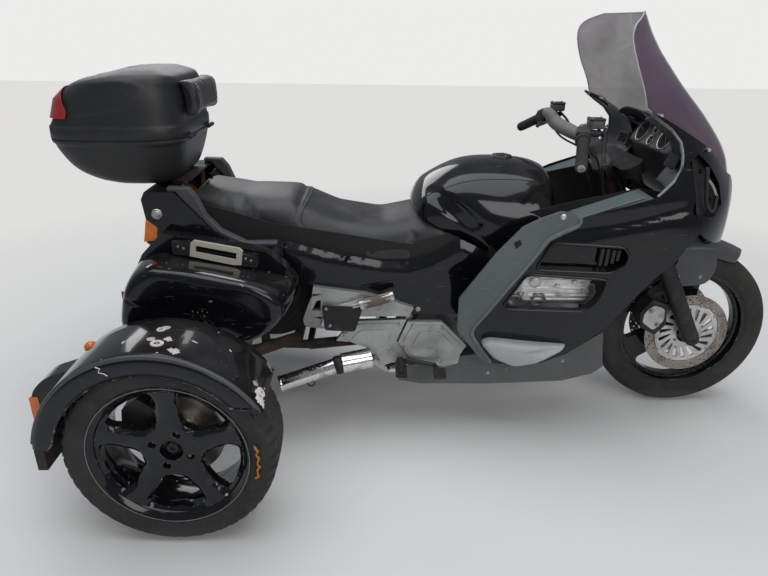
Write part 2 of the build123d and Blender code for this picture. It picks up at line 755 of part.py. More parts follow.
def make_dash():
    inside = hull(hull_table, grow=-panel)
    wall = across(
        (-345, 1120), (-330, 1112), (-262, 1066), (-226, 1040), (-208, 990), (-200, 930),
        (-206, 930), (-214, 988), (-231, 1036), (-265, 1060), (-333, 1106), (-347, 1114),
    )
    dash = biggest(clear_of(wall & inside, "windscreen", "screen_screws"))
    keep("dash_cowl", dash)
    cluster = slab((-220, 1034), (-262, 1070), (-330, 1112), (-346, 1064), (-296, 1020), (-226, 1014), y=(-150, 150))
    front = slab((-214, 988), (-231, 1036), (-265, 1060), (-333, 1106), (-200, 1106), (-200, 980), y=(-200, 200))
    cluster = cluster - front
    slope = Plane(origin=(-321, 0, 1042), x_dir=(0, 1, 0), z_dir=(-0.66, 0, -0.75))
    for y, radius in ((-84, 40), (84, 40), (0, 19)):
        cluster -= extrude(slope * Pos(y, 0) * Circle(radius), amount=6, both=True)
    keep("gauges", biggest(cluster - dash))


def make_stays():
    central = rod((-306, 0, 790), (68, 0, 760), 9) + rod((-60, -300, 790), (-60, 300, 790), 8)
    stays = [biggest(clear_of(central, "frame", "nose_cowl", "side_fairings"))]
    arm = rod((-492, -146, 676), (-345, -372, 640), 7)
    arm = biggest(clear_of(arm & hull(hull_table, grow=-1), "frame", "side_fairings"))
    keep("fairing_stays", *stays, *both_sides(arm))


pocket_slope = 19.2
pocket_start = (-556.0, 822.0)


def along_pocket(reach, up):
    """Point in x and z on the shelf's slope."""
    turn = math.radians(pocket_slope)
    x, z = pocket_start
    return (x + reach * math.cos(turn) - up * math.sin(turn), z + reach * math.sin(turn) + up * math.cos(turn))


def make_pockets():
    def plate(start, end, low, high, y):
        return slab(*[along_pocket(a, b) for a, b in ((start, low), (end, low), (end, high), (start, high))], y=y)
    inside = hull(hull_table, grow=-panel)
    shelf = plate(0, 234, -5, 0, (-212, -360))
    tray = plate(20, 206, -64, 0, (-232, -306))
    shelf = (shelf + tray) & inside
    shelf = shelf - plate(24, 202, -60, 10, (-236, -302))
    shelf = biggest(clear_of(shelf, "side_fairings", "fairing_trims", "fairing_stays"))
    keep("fairing_shelves", *both_sides(shelf))
    lid = plate(12, 214, fit_gap, fit_gap + 4, (-224, -312))
    low, high = along_pocket(12, fit_gap + 3), along_pocket(214, fit_gap + 3)
    lid += rod((low[0], -312, low[1]), (high[0], -312, high[1]), 3)
    keep("pocket_lid_right", lid)
    keep("pocket_lid_left", other_side(lid))


def make_tank_and_seat():
    rear_end = across((-1100, 838), (-870, 706), (-870, 500), (-1100, 500))
    keep("tank", biggest(clear_of(hull(tank_table) - rear_end, "frame", "engine")))
    gap_end = across((-1100, 838 + fit_gap), (-870, 706 + fit_gap), (-500, 706), (-500, 1000), (-1100, 1000))
    seat = hull(seat_table) - (hull(tank_table, grow=fit_gap) & gap_end)
    seat -= across((-878, 725), (-700, 725), (-700, 600), (-884, 690))
    seat -= box((-1560, -900), (-150, 150), (500, 700))
    seat -= box((-1900, -1500), (-132, 132), (500, 760))
    keep("seat", biggest(clear_of(seat, "frame", "tank")))


def make_side_panels():
    plate = slab(
        (-1462, 690), (-1316, 648), (-1137, 612), (-1054, 612), (-988, 634), (-888, 705), (-764, 652),
        (-738, 634), (-745, 618), (-800, 560), (-858, 480), (-885, 456), (-1130, 456), (-1140, 470),
        (-1251, 505), (-1372, 567), (-1462, 600), y=(-205, -212),
    )
    plate += drum(-1015, 580, 8, (-180, -206)) + drum(-1026, 480, 8, (-180, -206))
    keep("side_panels", *both_sides(clear_of(plate, "frame")))


def make_tail():
    half = 248.0
    outer = slab(
        (-1880, 884), (-1892, 860), (-1885, 800), (-1892, 720), (-1850, 690), (-1700, 690), (-1462, 640),
        (-1462, 712), (-1590, 705), (-1680, 760), (-1740, 830), (-1790, 884), y=(-half, half),
    )
    inner = slab(
        (-1874, 878), (-1886, 860), (-1879, 800), (-1886, 724), (-1850, 680), (-1700, 680), (-1450, 630),
        (-1450, 706), (-1594, 700), (-1686, 756), (-1746, 826), (-1780, 878), y=(-half + 4, half - 4),
    )
    tail = clear_of(outer - inner - hull(seat_table, grow=fit_gap), "frame")
    corners = []
    for side in (-1, 1):
        corners.append(slab(
            (-1886, 800), (-1902, 722), (-1858, 728), (-1852, 770), y=(side * 178, side * half),
        ))
    lamps = [slab((-1888, 790), (-1900, 735), (-1872, 735), (-1866, 790), y=(-120, 120))]
    posts = [rod((-1792, side * 106, 735), (-1792, side * 106, 886), 9) for side in (-1, 1)]
    for piece in lamps + corners + posts:
        tail = tail - piece
    tail = biggest(tail)
    keep("tail_cowl", tail)
    keep("rear_lamps", *lamps)
    keep("marker_lamps", *pieces["marker_lamps"], *corners)
    rack = box((-2000, -1776), (-100, 100), (884.3, 891.7)) + posts[0] + posts[1]
    keep("luggage_rack", biggest(clear_of(rack, "frame", "tail_cowl")))
    strip = slab(
        (-1812, 884), (-1812, 899), (-1745, 897), (-1722, 868), (-1700, 812), (-1655, 762), (-1580, 722),
        (-1480, 724), (-1480, 700), (-1590, 700), (-1680, 755), (-1740, 825), (-1785, 884), y=(-214, -246),
    )
    keep("grab_rails", *both_sides(biggest(clear_of(strip, "tail_cowl", "seat", "luggage_rack"))))


top_base_table = [
    # height, front, rear, half width
    (892, -1822, -2020, 168),
    (905, -1802, -2075, 188),
    (940, -1785, -2128, 208),
    (1000, -1768, -2162, 228),
    (1035, -1762, -2170, 236),
]
top_lid_table = [
    (1035.3, -1762, -2170, 236),
    (1075, -1762, -2168, 236),
    (1102, -1763, -2155, 235),
    (1151, -1766, -2139, 232),
    (1185, -1773, -2103, 226),
    (1207, -1780, -2056, 221),
    (1219, -1796, -2000, 205),
    (1234, -1840, -1940, 150),
]


def plan(z, front, rear, half, grow=0.0):
    """Rounded plan section of the top box."""
    front, rear, half = front + grow, rear - grow, half + grow
    flat = Rectangle(front - rear, 2 * half)
    flat = fillet(flat.vertices(), min(80 + grow, (front - rear) * 0.3))
    return Pos((front + rear) / 2, 0, z) * flat


def stack(table, grow=0.0, low=0.0, high=0.0):
    """Body lofted through plan sections, its two ends moved in height."""
    rows = [list(row) for row in table]
    rows[0][0] += low
    rows[-1][0] += high
    return loft([plan(*row, grow=grow) for row in rows], ruled=True)


def belt(low, high):
    """Raised band round the top box."""
    front, rear, half = top_base_table[-1][1:]
    band = extrude(plan(low, front, rear, half, grow=box_belt), amount=high - low)
    return band - extrude(plan(low - 1, front, rear, half, grow=-box_wall), amount=high - low + 2)


def make_top_box():
    split = box_split
    lid_low = split + fit_gap
    hinge_x, hinge_z = -1749.0, split + fit_gap / 2
    base = stack(top_base_table) - stack(top_base_table, grow=-box_wall, low=box_wall, high=1)
    base += belt(split - 15, split)
    lid = stack(top_lid_table) - stack(top_lid_table, grow=-box_wall, low=-1, high=-box_wall)
    lid += belt(lid_low, lid_low + 40)
    pin = rod((hinge_x, -150, hinge_z), (hinge_x, 150, hinge_z), 3)
    for side in (-1, 1):
        for owner, y in (("base", (side * 118, side * 148)), ("lid", (side * 84, side * 116))):
            knuckle = drum(hinge_x, hinge_z, 7, y)
            if owner == "base":
                base += knuckle + box((hinge_x - 14, hinge_x), y, (split - 14, split - 3))
            else:
                lid += knuckle + box((hinge_x - 14, hinge_x), y, (lid_low + 3, lid_low + 14))
            other = drum(hinge_x, hinge_z, 9, (min(y) - 1, max(y) + 1))
            if owner == "base":
                lid -= other
            else:
                base -= other
    lid -= rod((hinge_x, -150, hinge_z), (hinge_x, 150, hinge_z), 3 + fit_gap)
    base += pin
    keep("topbox_base", biggest(clear_of(base, "luggage_rack")))

    shade = across((-2182, 1098), (-2150, 1170), (-2104, 1190), (-2078, 1120), (-2085, 1098))
    corner = (stack(top_lid_table, grow=1.5) - stack(top_lid_table, grow=-2)) & shade
    corner = biggest(corner & box((-2200, -2000), (-260, -120), (1000, 1300)))
    shades = both_sides(corner)
    for lamp in shades:
        lid = lid - lamp
    lid = biggest(lid)
    keep("topbox_reflectors", *shades)
    pad = slab(
        (-1772, 1092), (-1736, 1094), ((-1722, 1100), (-1716, 1116)), (-1718, 1172),
        ((-1726, 1196), (-1748, 1206)), (-1805, 1208), y=(-138, 138),
    )
    pad = biggest(pad - stack(top_lid_table, grow=fit_gap))
    keep("topbox_pad", pad)
    keep("topbox_lid", lid)


pannier_outline = [
    # tray x and height, lid's inner edge x and height, lid's outer edge x and height
    (-1827, 768, -1840, 708, -1820, 722),
    (-1893, 700, -1893, 688, -1868, 690),
    (-1925, 640, -1925, 640, -1900, 638),
    (-1945, 545, -1945, 545, -1920, 548),
    (-1938, 490, -1938, 490, -1914, 506),
    (-1900, 462, -1900, 462, -1884, 484),
    (-1533, 457, -1533, 457, -1545, 480),
    (-1475, 492, -1475, 492, -1494, 508),
    (-1420, 560, -1420, 560, -1443, 565),
    (-1415, 612, -1415, 606, -1440, 604),
    (-1453, 663, -1440, 630, -1464, 640),
    (-1507, 710, -1500, 642, -1516, 672),
    (-1733, 752, -1733, 688, -1728, 714),
]
handle_outline = [
    (-1741, 701), (-1734, 744), (-1723, 752), (-1587, 727), (-1577, 718), (-1584, 672), (-1610, 672),
]
handle_slot = [(-1722, 714), (-1719, 735), (-1596, 711), (-1600, 689)]
latch_places = [
    # x, low, high
    (-1766, 706, 746),
    (-1562, 670, 706),
]


def make_panniers():
    def outline(column, y, grow=0.0):
        points = [row[column:column + 2] for row in pannier_outline]
        flat = Plane((0, y, 0), x_dir=(1, 0, 0), z_dir=(0, -1, 0)) * make_face(Polyline(*points, close=True))
        return offset(flat, amount=grow, kind=Kind.INTERSECTION) if grow else flat
    split, outer, tray_edge = -pannier_split, -pannier_outer, -pannier_split + fit_gap
    lid = loft([outline(2, split), outline(4, outer)], ruled=True)
    lid -= loft([outline(2, split + 1, -box_wall), outline(4, outer + box_wall, -box_wall)], ruled=True)
    tray = extrude(outline(0, -pannier_inner), amount=pannier_split - fit_gap - pannier_inner)
    hollow = extrude(outline(0, -pannier_inner - box_wall, -box_wall), amount=pannier_split)
    mouth = extrude(outline(2, tray_edge + box_wall + 1, -box_wall), amount=2 * box_wall)
    rim = extrude(outline(0, tray_edge + box_wall), amount=box_wall) - mouth
    tray = tray - hollow + rim
    tray += drum(-1560, 600, 12, (-124, -pannier_inner - 1)) + drum(-1800, 705, 12, (-240, -pannier_inner - 1))
    for x, low, high in latch_places:
        tray += box((x - 28, x + 28), (tray_edge - 12, tray_edge + 1), (low, high))
    tray = clear_of(tray, "tail_cowl", "frame", "grab_rails", "marker_lamps")
    tray -= extrude(outline(0, -pannier_inner - box_wall, -box_wall), amount=40)
    keep("pannier_trays", *both_sides(biggest(tray)))
    keep("pannier_lid_right", lid)
    keep("pannier_lid_left", other_side(lid))
    handle = slab(*handle_outline, y=(tray_edge - 7, tray_edge - 16)) - slab(*handle_slot, y=(-200, -400))
    for x, z in ((-1731, 726), (-1587, 700)):
        handle += drum(x, z, 8, (tray_edge, tray_edge - 9))
    handle = biggest(clear_of(handle, "pannier_trays"))
    keep("pannier_handles", *both_sides(handle))


def make_low_side():
    rear_plate = slab(
        (-1300, 365), (-1270, 405), (-1240, 440), (-1060, 447), (-1092, 365), (-1050, 300), (-1145, 265),
        (-1160, 300), (-1200, 340), (-1250, 360), y=(-218, -236),
    )
    front_plate = slab(
        (-1056, 440), (-940, 440), (-922, 425), (-850, 350), (-870, 315), (-875, 280), (-925, 265),
        (-1046, 302), (-1087, 362), y=(-222, -240),
    )
    rear_plate += rod((-1180, -218, 380), (-1180, -150, 335), 14)
    rear_plate += rod((-1100, -218, 420), (-1040, -180, 440), 14)
    front_plate += rod((-960, -222, 400), (-960, -150, 400), 14)
    keep(
        "heel_plates", *both_sides(biggest(clear_of(rear_plate, "frame"))),
        *both_sides(biggest(clear_of(front_plate, "frame", "engine"))),
    )
    bracket = slab(
        (-1372, 565), (-1200, 542), (-1115, 517), (-1037, 490), (-1050, 460), (-1390, 455), y=(-212, -236),
    )
    bracket -= across((-1375, 540), (-1346, 540), (-1350, 478), (-1378, 478))
    bracket += rod((-1300, -220, 516), (-1300, -142, 586), 12)
    keep("peg_brackets", *both_sides(biggest(clear_of(bracket, "side_panels", "frame"))))
    lever = slab((-1330, 492), (-1205, 530), (-1215, 500), (-1315, 425), (-1350, 425), y=(-236.3, -246))
    lever += rod((-1215, -262, 512), (-1105, -262, 547), 17)
    lever += rod((-1240, -252, 504), (-1190, -262, 520), 8)
    keep("handbrake_lever", lever)
    stub = pipe((-1490, -300, 232), (-1272, -262, 292), 27.5, 24)
    muffler = rod((-1280, -262, 290), (-1180, -240, 300), 36)
    down = run([(-1180, -240, 300), (-1120, -182, 226), (-760, -160, 232)], 20)
    pipework = clear_of(stub + muffler + down, "frame", "engine", "heel_plates", "belly_pan")
    keep("exhausts", *both_sides(biggest(pipework)))
    peg = rod((-1078, -220, 292), (-1078, -340, 292), 12)
    peg += box((-1096, -1058), (-255, -345), (284, 298))
    pedal = run([(-1060, -250, 300), (-960, -262, 286), (-946, -300, 280)], 8)
    pedal += box((-966, -926), (-330, -290), (270, 290))
    keep("foot_controls", *both_sides(biggest(clear_of(peg + pedal, "heel_plates", "exhausts"))))


mirror_opening = [
    (-210, 1026), (-160, 984), (-120, 934), (-102, 868), (-134, 842), (-200, 842), (-218, 862),
    (-212, 900), (-222, 945), (-240, 1000),
]


def make_mirrors():
    def pod(grow, end):
        inner = Plane((0, -300, 0), x_dir=(1, 0, 0), z_dir=(0, -1, 0)) * Pos(-186, 936) * Rot(0, 0, -12)
        outer = Plane((0, end, 0), x_dir=(1, 0, 0), z_dir=(0, -1, 0)) * Pos(-200, 946) * Rot(0, 0, -12)
        return loft([
            inner * RectangleRounded(120 + grow, 150 + grow, 30),
            outer * RectangleRounded(96 + grow, 120 + grow, 26),
        ], ruled=True)
    depth = 34.0
    mouth = slab(*mirror_opening, y=(-150, -450))
    middle = (-165, 935)
    wide = [(middle[0] + (x - middle[0]) * 1.08, middle[1] + (z - middle[1]) * 1.08) for x, z in mirror_opening]
    for name in ("nose_cowl", "side_fairings"):
        solids = [solid - mouth for solid in pieces[name]]
        keep(name, *[biggest(solid) for solid in solids])
    wide_table = hull_table[:7]
    core = hull(wide_table, grow=-panel - depth)
    cup = (hull(wide_table, grow=-panel) & slab(*wide, y=(-150, -450))) - core
    cup -= mouth - hull(wide_table, grow=-depth)
    for x, z, tip_x, tip_z in ((-185, 965, -182, 972), (-150, 880, -140, 884), (-195, 875, -196, 866)):
        cup += rod((x, -235, z), (tip_x, -288, tip_z), 6) - core
    cup = biggest(clear_of(cup, "dash_cowl", "gauges", "fairing_stays", "windscreen", "screen_screws"))
    whole = other_side(biggest(pod(0, -424) - pod(-8, -420) - hull(wide_table)))
    keep("mirror_housings", cup, whole)


if __name__ == "__main__":
    make_front_wheel()
    make_rear_wheels()
    make_fork()
    make_handlebar()
    make_front_mudguard()
    make_front_calipers()
    make_frame()
    make_engine()
    make_radiator()
    make_rear_axle()
    make_cradle()
    make_rear_fenders()
    make_lamp_pods()
    make_fairing()
    make_windscreen()
    make_belly_pan()
    make_dash()
    make_stays()
    make_pockets()
    make_tank_and_seat()
    make_side_panels()
    make_tail()
    make_top_box()
    make_panniers()
    make_low_side()
    make_mirrors()
    for name, solids in pieces.items():
        moved = [Pos(footprint_shift, 0, 0) * solid for solid in solids]
        export_step(Compound(children=moved) if len(moved) > 1 else moved[0], f"parts/{name}.step")
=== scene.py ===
import json
import math

import bmesh
import bpy
import numpy as np
from mathutils import Matrix, Vector, geometry
from mathutils.bvhtree import BVHTree


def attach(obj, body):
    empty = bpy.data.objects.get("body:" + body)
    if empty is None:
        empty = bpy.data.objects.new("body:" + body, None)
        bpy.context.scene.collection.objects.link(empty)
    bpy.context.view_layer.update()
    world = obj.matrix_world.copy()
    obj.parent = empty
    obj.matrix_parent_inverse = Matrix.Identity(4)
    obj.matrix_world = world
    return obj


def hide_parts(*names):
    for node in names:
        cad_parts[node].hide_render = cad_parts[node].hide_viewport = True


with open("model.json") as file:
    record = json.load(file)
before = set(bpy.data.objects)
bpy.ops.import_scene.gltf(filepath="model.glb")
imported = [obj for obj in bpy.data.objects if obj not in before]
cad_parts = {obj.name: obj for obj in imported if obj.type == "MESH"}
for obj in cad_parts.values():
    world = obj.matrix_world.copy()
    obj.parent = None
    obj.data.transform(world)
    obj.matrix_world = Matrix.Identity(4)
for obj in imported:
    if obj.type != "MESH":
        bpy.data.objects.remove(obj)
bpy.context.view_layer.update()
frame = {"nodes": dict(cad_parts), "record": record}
nodes = frame["nodes"]
scene = bpy.context.scene
body_of = {node: body for body, owned in frame["record"]["behaviour"]["bodies"].items() for node in owned}
slot_of = {row["node"]: row["material_slot"] for row in frame["record"]["subparts"]}

# RX is the front axle's x in metres. The wheels' centres are in millimetres from that axle.
RX = 0.93475
FRONT_Z = 316.5
REAR_X, REAR_Y, REAR_Z = -1722.0, 677, 290.5
FENDER_X, FENDER_Z, FENDER_CROWN = -1745.0, 280.0, 331.0
SIDES = ((-1, "right"), (1, "left"))
OPEN = (False, False)
DUST = (0.16, 0.145, 0.12)
RUST = (0.16, 0.055, 0.02)
FILLER = (0.46, 0.44, 0.39)


def put(name, data):
    thing = bpy.data.objects.new(name, data)
    scene.collection.objects.link(thing)
    return thing


def set_camera():
    """The camera stands where the photograph was taken from, at the rider's right."""
    data = bpy.data.cameras.new("photo_camera")
    data.sensor_width = 36
    data.lens = 28.82
    data.clip_start, data.clip_end = 0.05, 60
    pitch, yaw, roll = (math.radians(a) for a in (23.126, 1.255, -0.774))
    ahead = Vector((math.sin(yaw) * math.cos(pitch), math.cos(yaw) * math.cos(pitch), -math.sin(pitch)))
    level = Vector((math.cos(yaw), -math.sin(yaw), 0))
    down = ahead.cross(level)
    right = level * math.cos(roll) + down * math.sin(roll)
    down = down * math.cos(roll) - level * math.sin(roll)
    turn = Matrix((right, -down, -ahead)).transposed()
    scene.camera = put("photo_camera", data)
    scene.camera.matrix_world = Matrix.Translation((-0.24355, -2.1113, 1.3642)) @ turn.to_4x4()


def lamp(name, place, aim, size, power, colour=(1, 1, 1)):
    data = bpy.data.lights.new(name, "AREA")
    data.shape = "RECTANGLE"
    data.size, data.size_y = size
    data.energy = power
    data.color = colour
    thing = put(name, data)
    thing.location = place
    thing.rotation_euler = (Vector(aim) - Vector(place)).to_track_quat("-Z", "Y").to_euler()


class Nodes:
    """A shader tree; its nodes take their inputs in order or by name."""

    def __init__(self, tree):
        self.tree = tree

    def feed(self, socket, value):
        if isinstance(value, bpy.types.NodeSocket):
            self.tree.links.new(value, socket)
        else:
            socket.default_value = value

    def node(self, kind, *ordered, operation=None, **named):
        made = self.tree.nodes.new("ShaderNode" + kind)
        if operation:
            made.operation = operation
        for socket, value in zip(made.inputs, ordered):
            self.feed(socket, value)
        for key, value in named.items():
            self.feed(made.inputs[key.replace("_", " ")], value)
        return made

    def maths(self, what, a, b=0.0):
        return self.node("Math", a, b, operation=what).outputs[0]


def set_world():
    world = bpy.data.worlds.new("studio")
    world.use_nodes = True
    sky = Nodes(world.node_tree)
    path = sky.node("LightPath")
    seen = sky.maths("MAXIMUM", path.outputs["Is Camera Ray"], path.outputs["Is Transmission Ray"])
    soft = sky.tree.nodes["Background"]
    soft.inputs["Color"].default_value = (0.78, 0.84, 0.92, 1)
    soft.inputs["Strength"].default_value = 0.24
    pale = sky.node("Background", Color=(0.84, 0.84, 0.83, 1))
    mix = sky.node("MixShader", seen, soft.outputs[0], pale.outputs[0])
    sky.feed(sky.tree.nodes["World Output"].inputs["Surface"], mix.outputs[0])
    scene.world = world
    scene.view_settings.view_transform = "Standard"


class Finish(Nodes):
    """One procedural material, built up layer by layer. Places are in metres in the part's own frame."""

    def __init__(self, name, colour, rough, metal=0.0, coat=0.0, level=0.5, bevel=0.0012):
        self.material = bpy.data.materials.new(name)
        self.material.use_nodes = True
        super().__init__(self.material.node_tree)
        self.shader = self.tree.nodes["Principled BSDF"]
        start = {"Metallic": metal, "Coat Weight": coat, "Coat Roughness": 0.04, "Specular IOR Level": level}
        for key, value in start.items():
            self.shader.inputs[key].default_value = value
        where = self.node("TexCoord")
        self.place, self.facing = where.outputs["Object"], where.outputs["Normal"]
        self.colour = (*colour, 1)
        self.rough = rough
        self.height = None
        self.soft_normal = self.rounding(bevel) if bevel else None

    def rounding(self, radius):
        made = self.node("Bevel", Radius=radius)
        made.samples = 4
        return made.outputs[0]

    def scaled(self, stretch):
        return self.node("VectorMath", self.place, stretch, operation="MULTIPLY").outputs[0]

    def away(self, spot, place=None):
        return self.node("VectorMath", place or self.place, spot, operation="DISTANCE").outputs["Value"]

    def ramp(self, value, low, high):
        return self.node("MapRange", Value=value, From_Min=low, From_Max=high).outputs[0]

    def cloud(self, scale, low=0.4, high=0.6, detail=3.0, stretch=None, twist=0.0):
        where = self.scaled(stretch) if stretch else self.place
        made = self.node("TexNoise", Vector=where, Scale=scale, Detail=detail, Distortion=twist)
        return self.ramp(made.outputs["Fac"], low, high)

    def cells(self, scale, high):
        made = self.node("TexVoronoi", Vector=self.place, Scale=scale)
        return self.ramp(made.outputs["Distance"], 0.0, high)

    def upward(self, low, high=1.0):
        return self.ramp(self.node("SeparateXYZ", self.facing).outputs["Z"], low, high)

    def low_down(self, high):
        return self.ramp(self.node("SeparateXYZ", self.place).outputs["Z"], high, 0.0)

    def edges(self, radius):
        flat = self.node("NewGeometry").outputs["Normal"]
        made = self.node("VectorMath", self.rounding(radius), flat, operation="DOT_PRODUCT")
        return self.ramp(self.maths("SUBTRACT", 1.0, made.outputs["Value"]), 0.004, 0.08)

    def near(self, spot, reach, ragged=0.35):
        """A mask that is 1 inside a ragged patch round a point."""
        wobble = self.node("TexNoise", Vector=self.place, Scale=1.6 / reach, Detail=4.0)
        ripple = self.maths("MULTIPLY", wobble.outputs["Fac"], reach * ragged * 2)
        away = self.maths("ADD", self.away(spot), ripple)
        return self.ramp(away, reach * (1.06 + ragged), reach * (0.94 + ragged))

    def both(self, first, second):
        return self.maths("MULTIPLY", first, second)

    def paint(self, mask, colour=None, rough=None, amount=1.0):
        if amount != 1.0:
            mask = self.maths("MULTIPLY", mask, amount)
        if colour is not None:
            made = self.node("Mix")
            made.data_type = "RGBA"
            for index, value in ((0, mask), (6, self.colour), (7, (*colour, 1))):
                self.feed(made.inputs[index], value)
            self.colour = made.outputs[2]
        if rough is not None:
            made = self.node("Mix")
            for index, value in ((0, mask), (2, self.rough), (3, rough)):
                self.feed(made.inputs[index], value)
            self.rough = made.outputs[0]

    def raise_by(self, mask, depth):
        tall = self.maths("MULTIPLY", mask, depth)
        self.height = tall if self.height is None else self.maths("ADD", self.height, tall)

    def done(self):
        self.feed(self.shader.inputs["Base Color"], self.colour)
        self.feed(self.shader.inputs["Roughness"], self.rough)
        normal = self.soft_normal
        if self.height is not None:
            bump = self.node("Bump", Height=self.height, Distance=1.0)
            if normal is not None:
                self.feed(bump.inputs["Normal"], normal)
            normal = bump.outputs[0]
        if normal is not None:
            self.feed(self.shader.inputs["Normal"], normal)
        return self.material


def lightened(colour, times, more=0.0):
    return tuple(min(1, c * times + more) for c in colour)


def gloss_black(name, spots=(), chips=0.0, dusty=0.35):
    f = Finish(name, (0.0034, 0.0037, 0.005), 0.1, coat=0.45, level=0.2, bevel=0.002)
    f.paint(f.cloud(3.1, 0.35, 0.7), (0.0065, 0.0068, 0.0085), 0.17)
    f.paint(f.both(f.upward(0.35), f.cloud(9, 0.3, 0.75, 5)), DUST, 0.5, dusty * 0.3)
    f.paint(f.cloud(70, 0.69, 0.71, 2, stretch=(0.3, 1, 1.7)), (0.07, 0.068, 0.06), 0.4, 0.5)
    if chips:
        f.paint(f.both(f.edges(0.003), f.cloud(60, 0.56, 0.6, 3)), (0.33, 0.3, 0.27), 0.6, chips)
        f.paint(f.cloud(38, 0.755, 0.765, 1), (0.6, 0.58, 0.54), 0.6, chips)
    for spot, reach in spots:
        f.paint(f.near(spot, reach), FILLER, 0.75)
        f.raise_by(f.near(spot, reach), 0.0006)
    f.raise_by(f.cloud(520, 0.2, 0.8, 2), 0.000012)
    return f.done()


def moulded(name, colour, rough, grain=0.00006, fade=None, dusty=0.4):
    f = Finish(name, colour, rough, level=0.4)
    pale = fade or lightened(colour, 1.7, 0.02)
    f.paint(f.cloud(4.5, 0.3, 0.75, 5), pale, min(1, rough + 0.15), 0.45)
    f.paint(f.both(f.edges(0.0025), f.cloud(45, 0.42, 0.62, 4)), pale, 0.6, 0.7)
    f.paint(f.both(f.upward(0.3), f.cloud(12, 0.35, 0.7, 5)), DUST, 0.8, dusty * 0.45)
    f.paint(f.cloud(90, 0.67, 0.7, 2, stretch=(0.25, 1, 1.5)), pale, 0.7, 0.5)
    f.raise_by(f.cells(900, 0.7), grain)
    return f.done()


def cast(name, colour, rough, metal=0.75, amount=0.7):
    f = Finish(name, colour, rough, metal=metal, level=0.4)
    f.paint(f.cloud(11, 0.42, 0.7, 6), lightened(colour, 0.55), 0.7, 0.6)
    f.paint(f.cloud(28, 0.55, 0.68, 5, twist=0.6), (0.1, 0.085, 0.065), 0.85, amount)
    f.paint(f.both(f.edges(0.003), f.cloud(40, 0.4, 0.6)), lightened(colour, 1.35), 0.4, 0.5)
    f.raise_by(f.cloud(650, 0.2, 0.8, 3), 0.0001)
    return f.done()


def worn_steel(name, colour, rusty):
    f = Finish(name, colour, 0.6, metal=0.2, level=0.4)
    f.paint(f.cloud(14, 0.5, 0.62, 6), RUST, 0.9, rusty)
    f.paint(f.cloud(45, 0.55, 0.66, 5), (0.27, 0.11, 0.045), 0.95, rusty)
    f.paint(f.both(f.upward(0.1, 0.9), f.cloud(18, 0.4, 0.7, 5)), DUST, 0.9, 0.5)
    f.raise_by(f.cloud(240, 0.3, 0.8, 4), 0.0003)
    return f.done()


def brake_disc(name, x, z):
    f = Finish(name, (0.36, 0.34, 0.31), 0.32, metal=0.9)
    rings = f.node("TexNoise", Scale=900.0, Detail=2.0)
    rings.noise_dimensions = "1D"
    f.feed(rings.inputs["W"], f.away((x, 0, z), f.scaled((1, 0, 1))))
    f.paint(f.ramp(rings.outputs["Fac"], 0.35, 0.7), (0.2, 0.18, 0.155), 0.5, 0.8)
    f.paint(f.cloud(22, 0.48, 0.7, 6), RUST, 0.85, 0.55)
    f.raise_by(f.ramp(rings.outputs["Fac"], 0.3, 0.7), 0.00006)
    return f.done()


def rubber(name, colour, dusty):
    f = Finish(name, colour, 0.72, level=0.35)
    f.paint(f.cloud(7, 0.32, 0.7, 6), DUST, 0.9, dusty * 0.42)
    f.paint(f.cloud(40, 0.5, 0.75, 4), (0.06, 0.055, 0.05), 0.85, 0.5)
    f.paint(f.low_down(0.06), DUST, 0.95, 0.35)
    f.raise_by(f.cloud(420, 0.25, 0.8, 4), 0.00016)
    return f.done()


def plated(name):
    f = Finish(name, (0.72, 0.72, 0.71), 0.13, metal=1.0)
    f.paint(f.cloud(24, 0.52, 0.7, 6), (0.2, 0.15, 0.1), 0.6, 0.5)
    f.paint(f.cloud(160, 0.6, 0.66, 3), RUST, 0.8, 0.5)
    f.raise_by(f.cloud(300, 0.3, 0.7, 3), 0.00003)
    return f.done()


def lens(name, colour):
    f = Finish(name, colour, 0.12, coat=0.5)
    f.paint(f.cloud(20, 0.4, 0.7, 4), lightened(colour, 0.55), 0.25, 0.7)
    ribs = f.node("TexWave", Vector=f.place, Scale=140.0)
    ribs.bands_direction = "Z"
    f.raise_by(ribs.outputs["Fac"], 0.0003)
    return f.done()


def clear(name, tint, share):
    """Clear or smoked sheet: a thin wall that lets light through and keeps its surface shine."""
    f = Finish(name, tint, 0.03, bevel=0)
    f.paint(f.cloud(6, 0.4, 0.75, 5), lightened(tint, 1.6, 0.02), 0.12, 0.5)
    fog = f.node("Math", f.maths("MULTIPLY", f.cloud(9, 0.35, 0.8, 6), 0.1), share, operation="ADD")
    fog.use_clamp = True
    f.feed(f.shader.inputs["Alpha"], fog.outputs[0])
    f.raise_by(f.cloud(18, 0.2, 0.8, 2), 0.0002)
    return f.done()


def leather(name, colour):
    f = Finish(name, colour, 0.4, level=0.45, bevel=0)
    f.paint(f.cloud(6, 0.35, 0.75, 5), (0.045, 0.044, 0.043), 0.55, 0.7)
    f.paint(f.both(f.upward(0.3), f.cloud(15, 0.35, 0.75, 6)), DUST, 0.75, 0.22)
    f.raise_by(f.cells(420, 0.6), 0.00012)
    f.raise_by(f.cloud(60, 0.3, 0.7, 3), 0.0003)
    return f.done()


fender_spots = (
    ((RX - 1.728, -0.628, 0.62), 0.014),
    ((RX - 1.747, -0.693, 0.6), 0.017),
    ((RX - 1.467, -0.705, 0.5), 0.023),
)
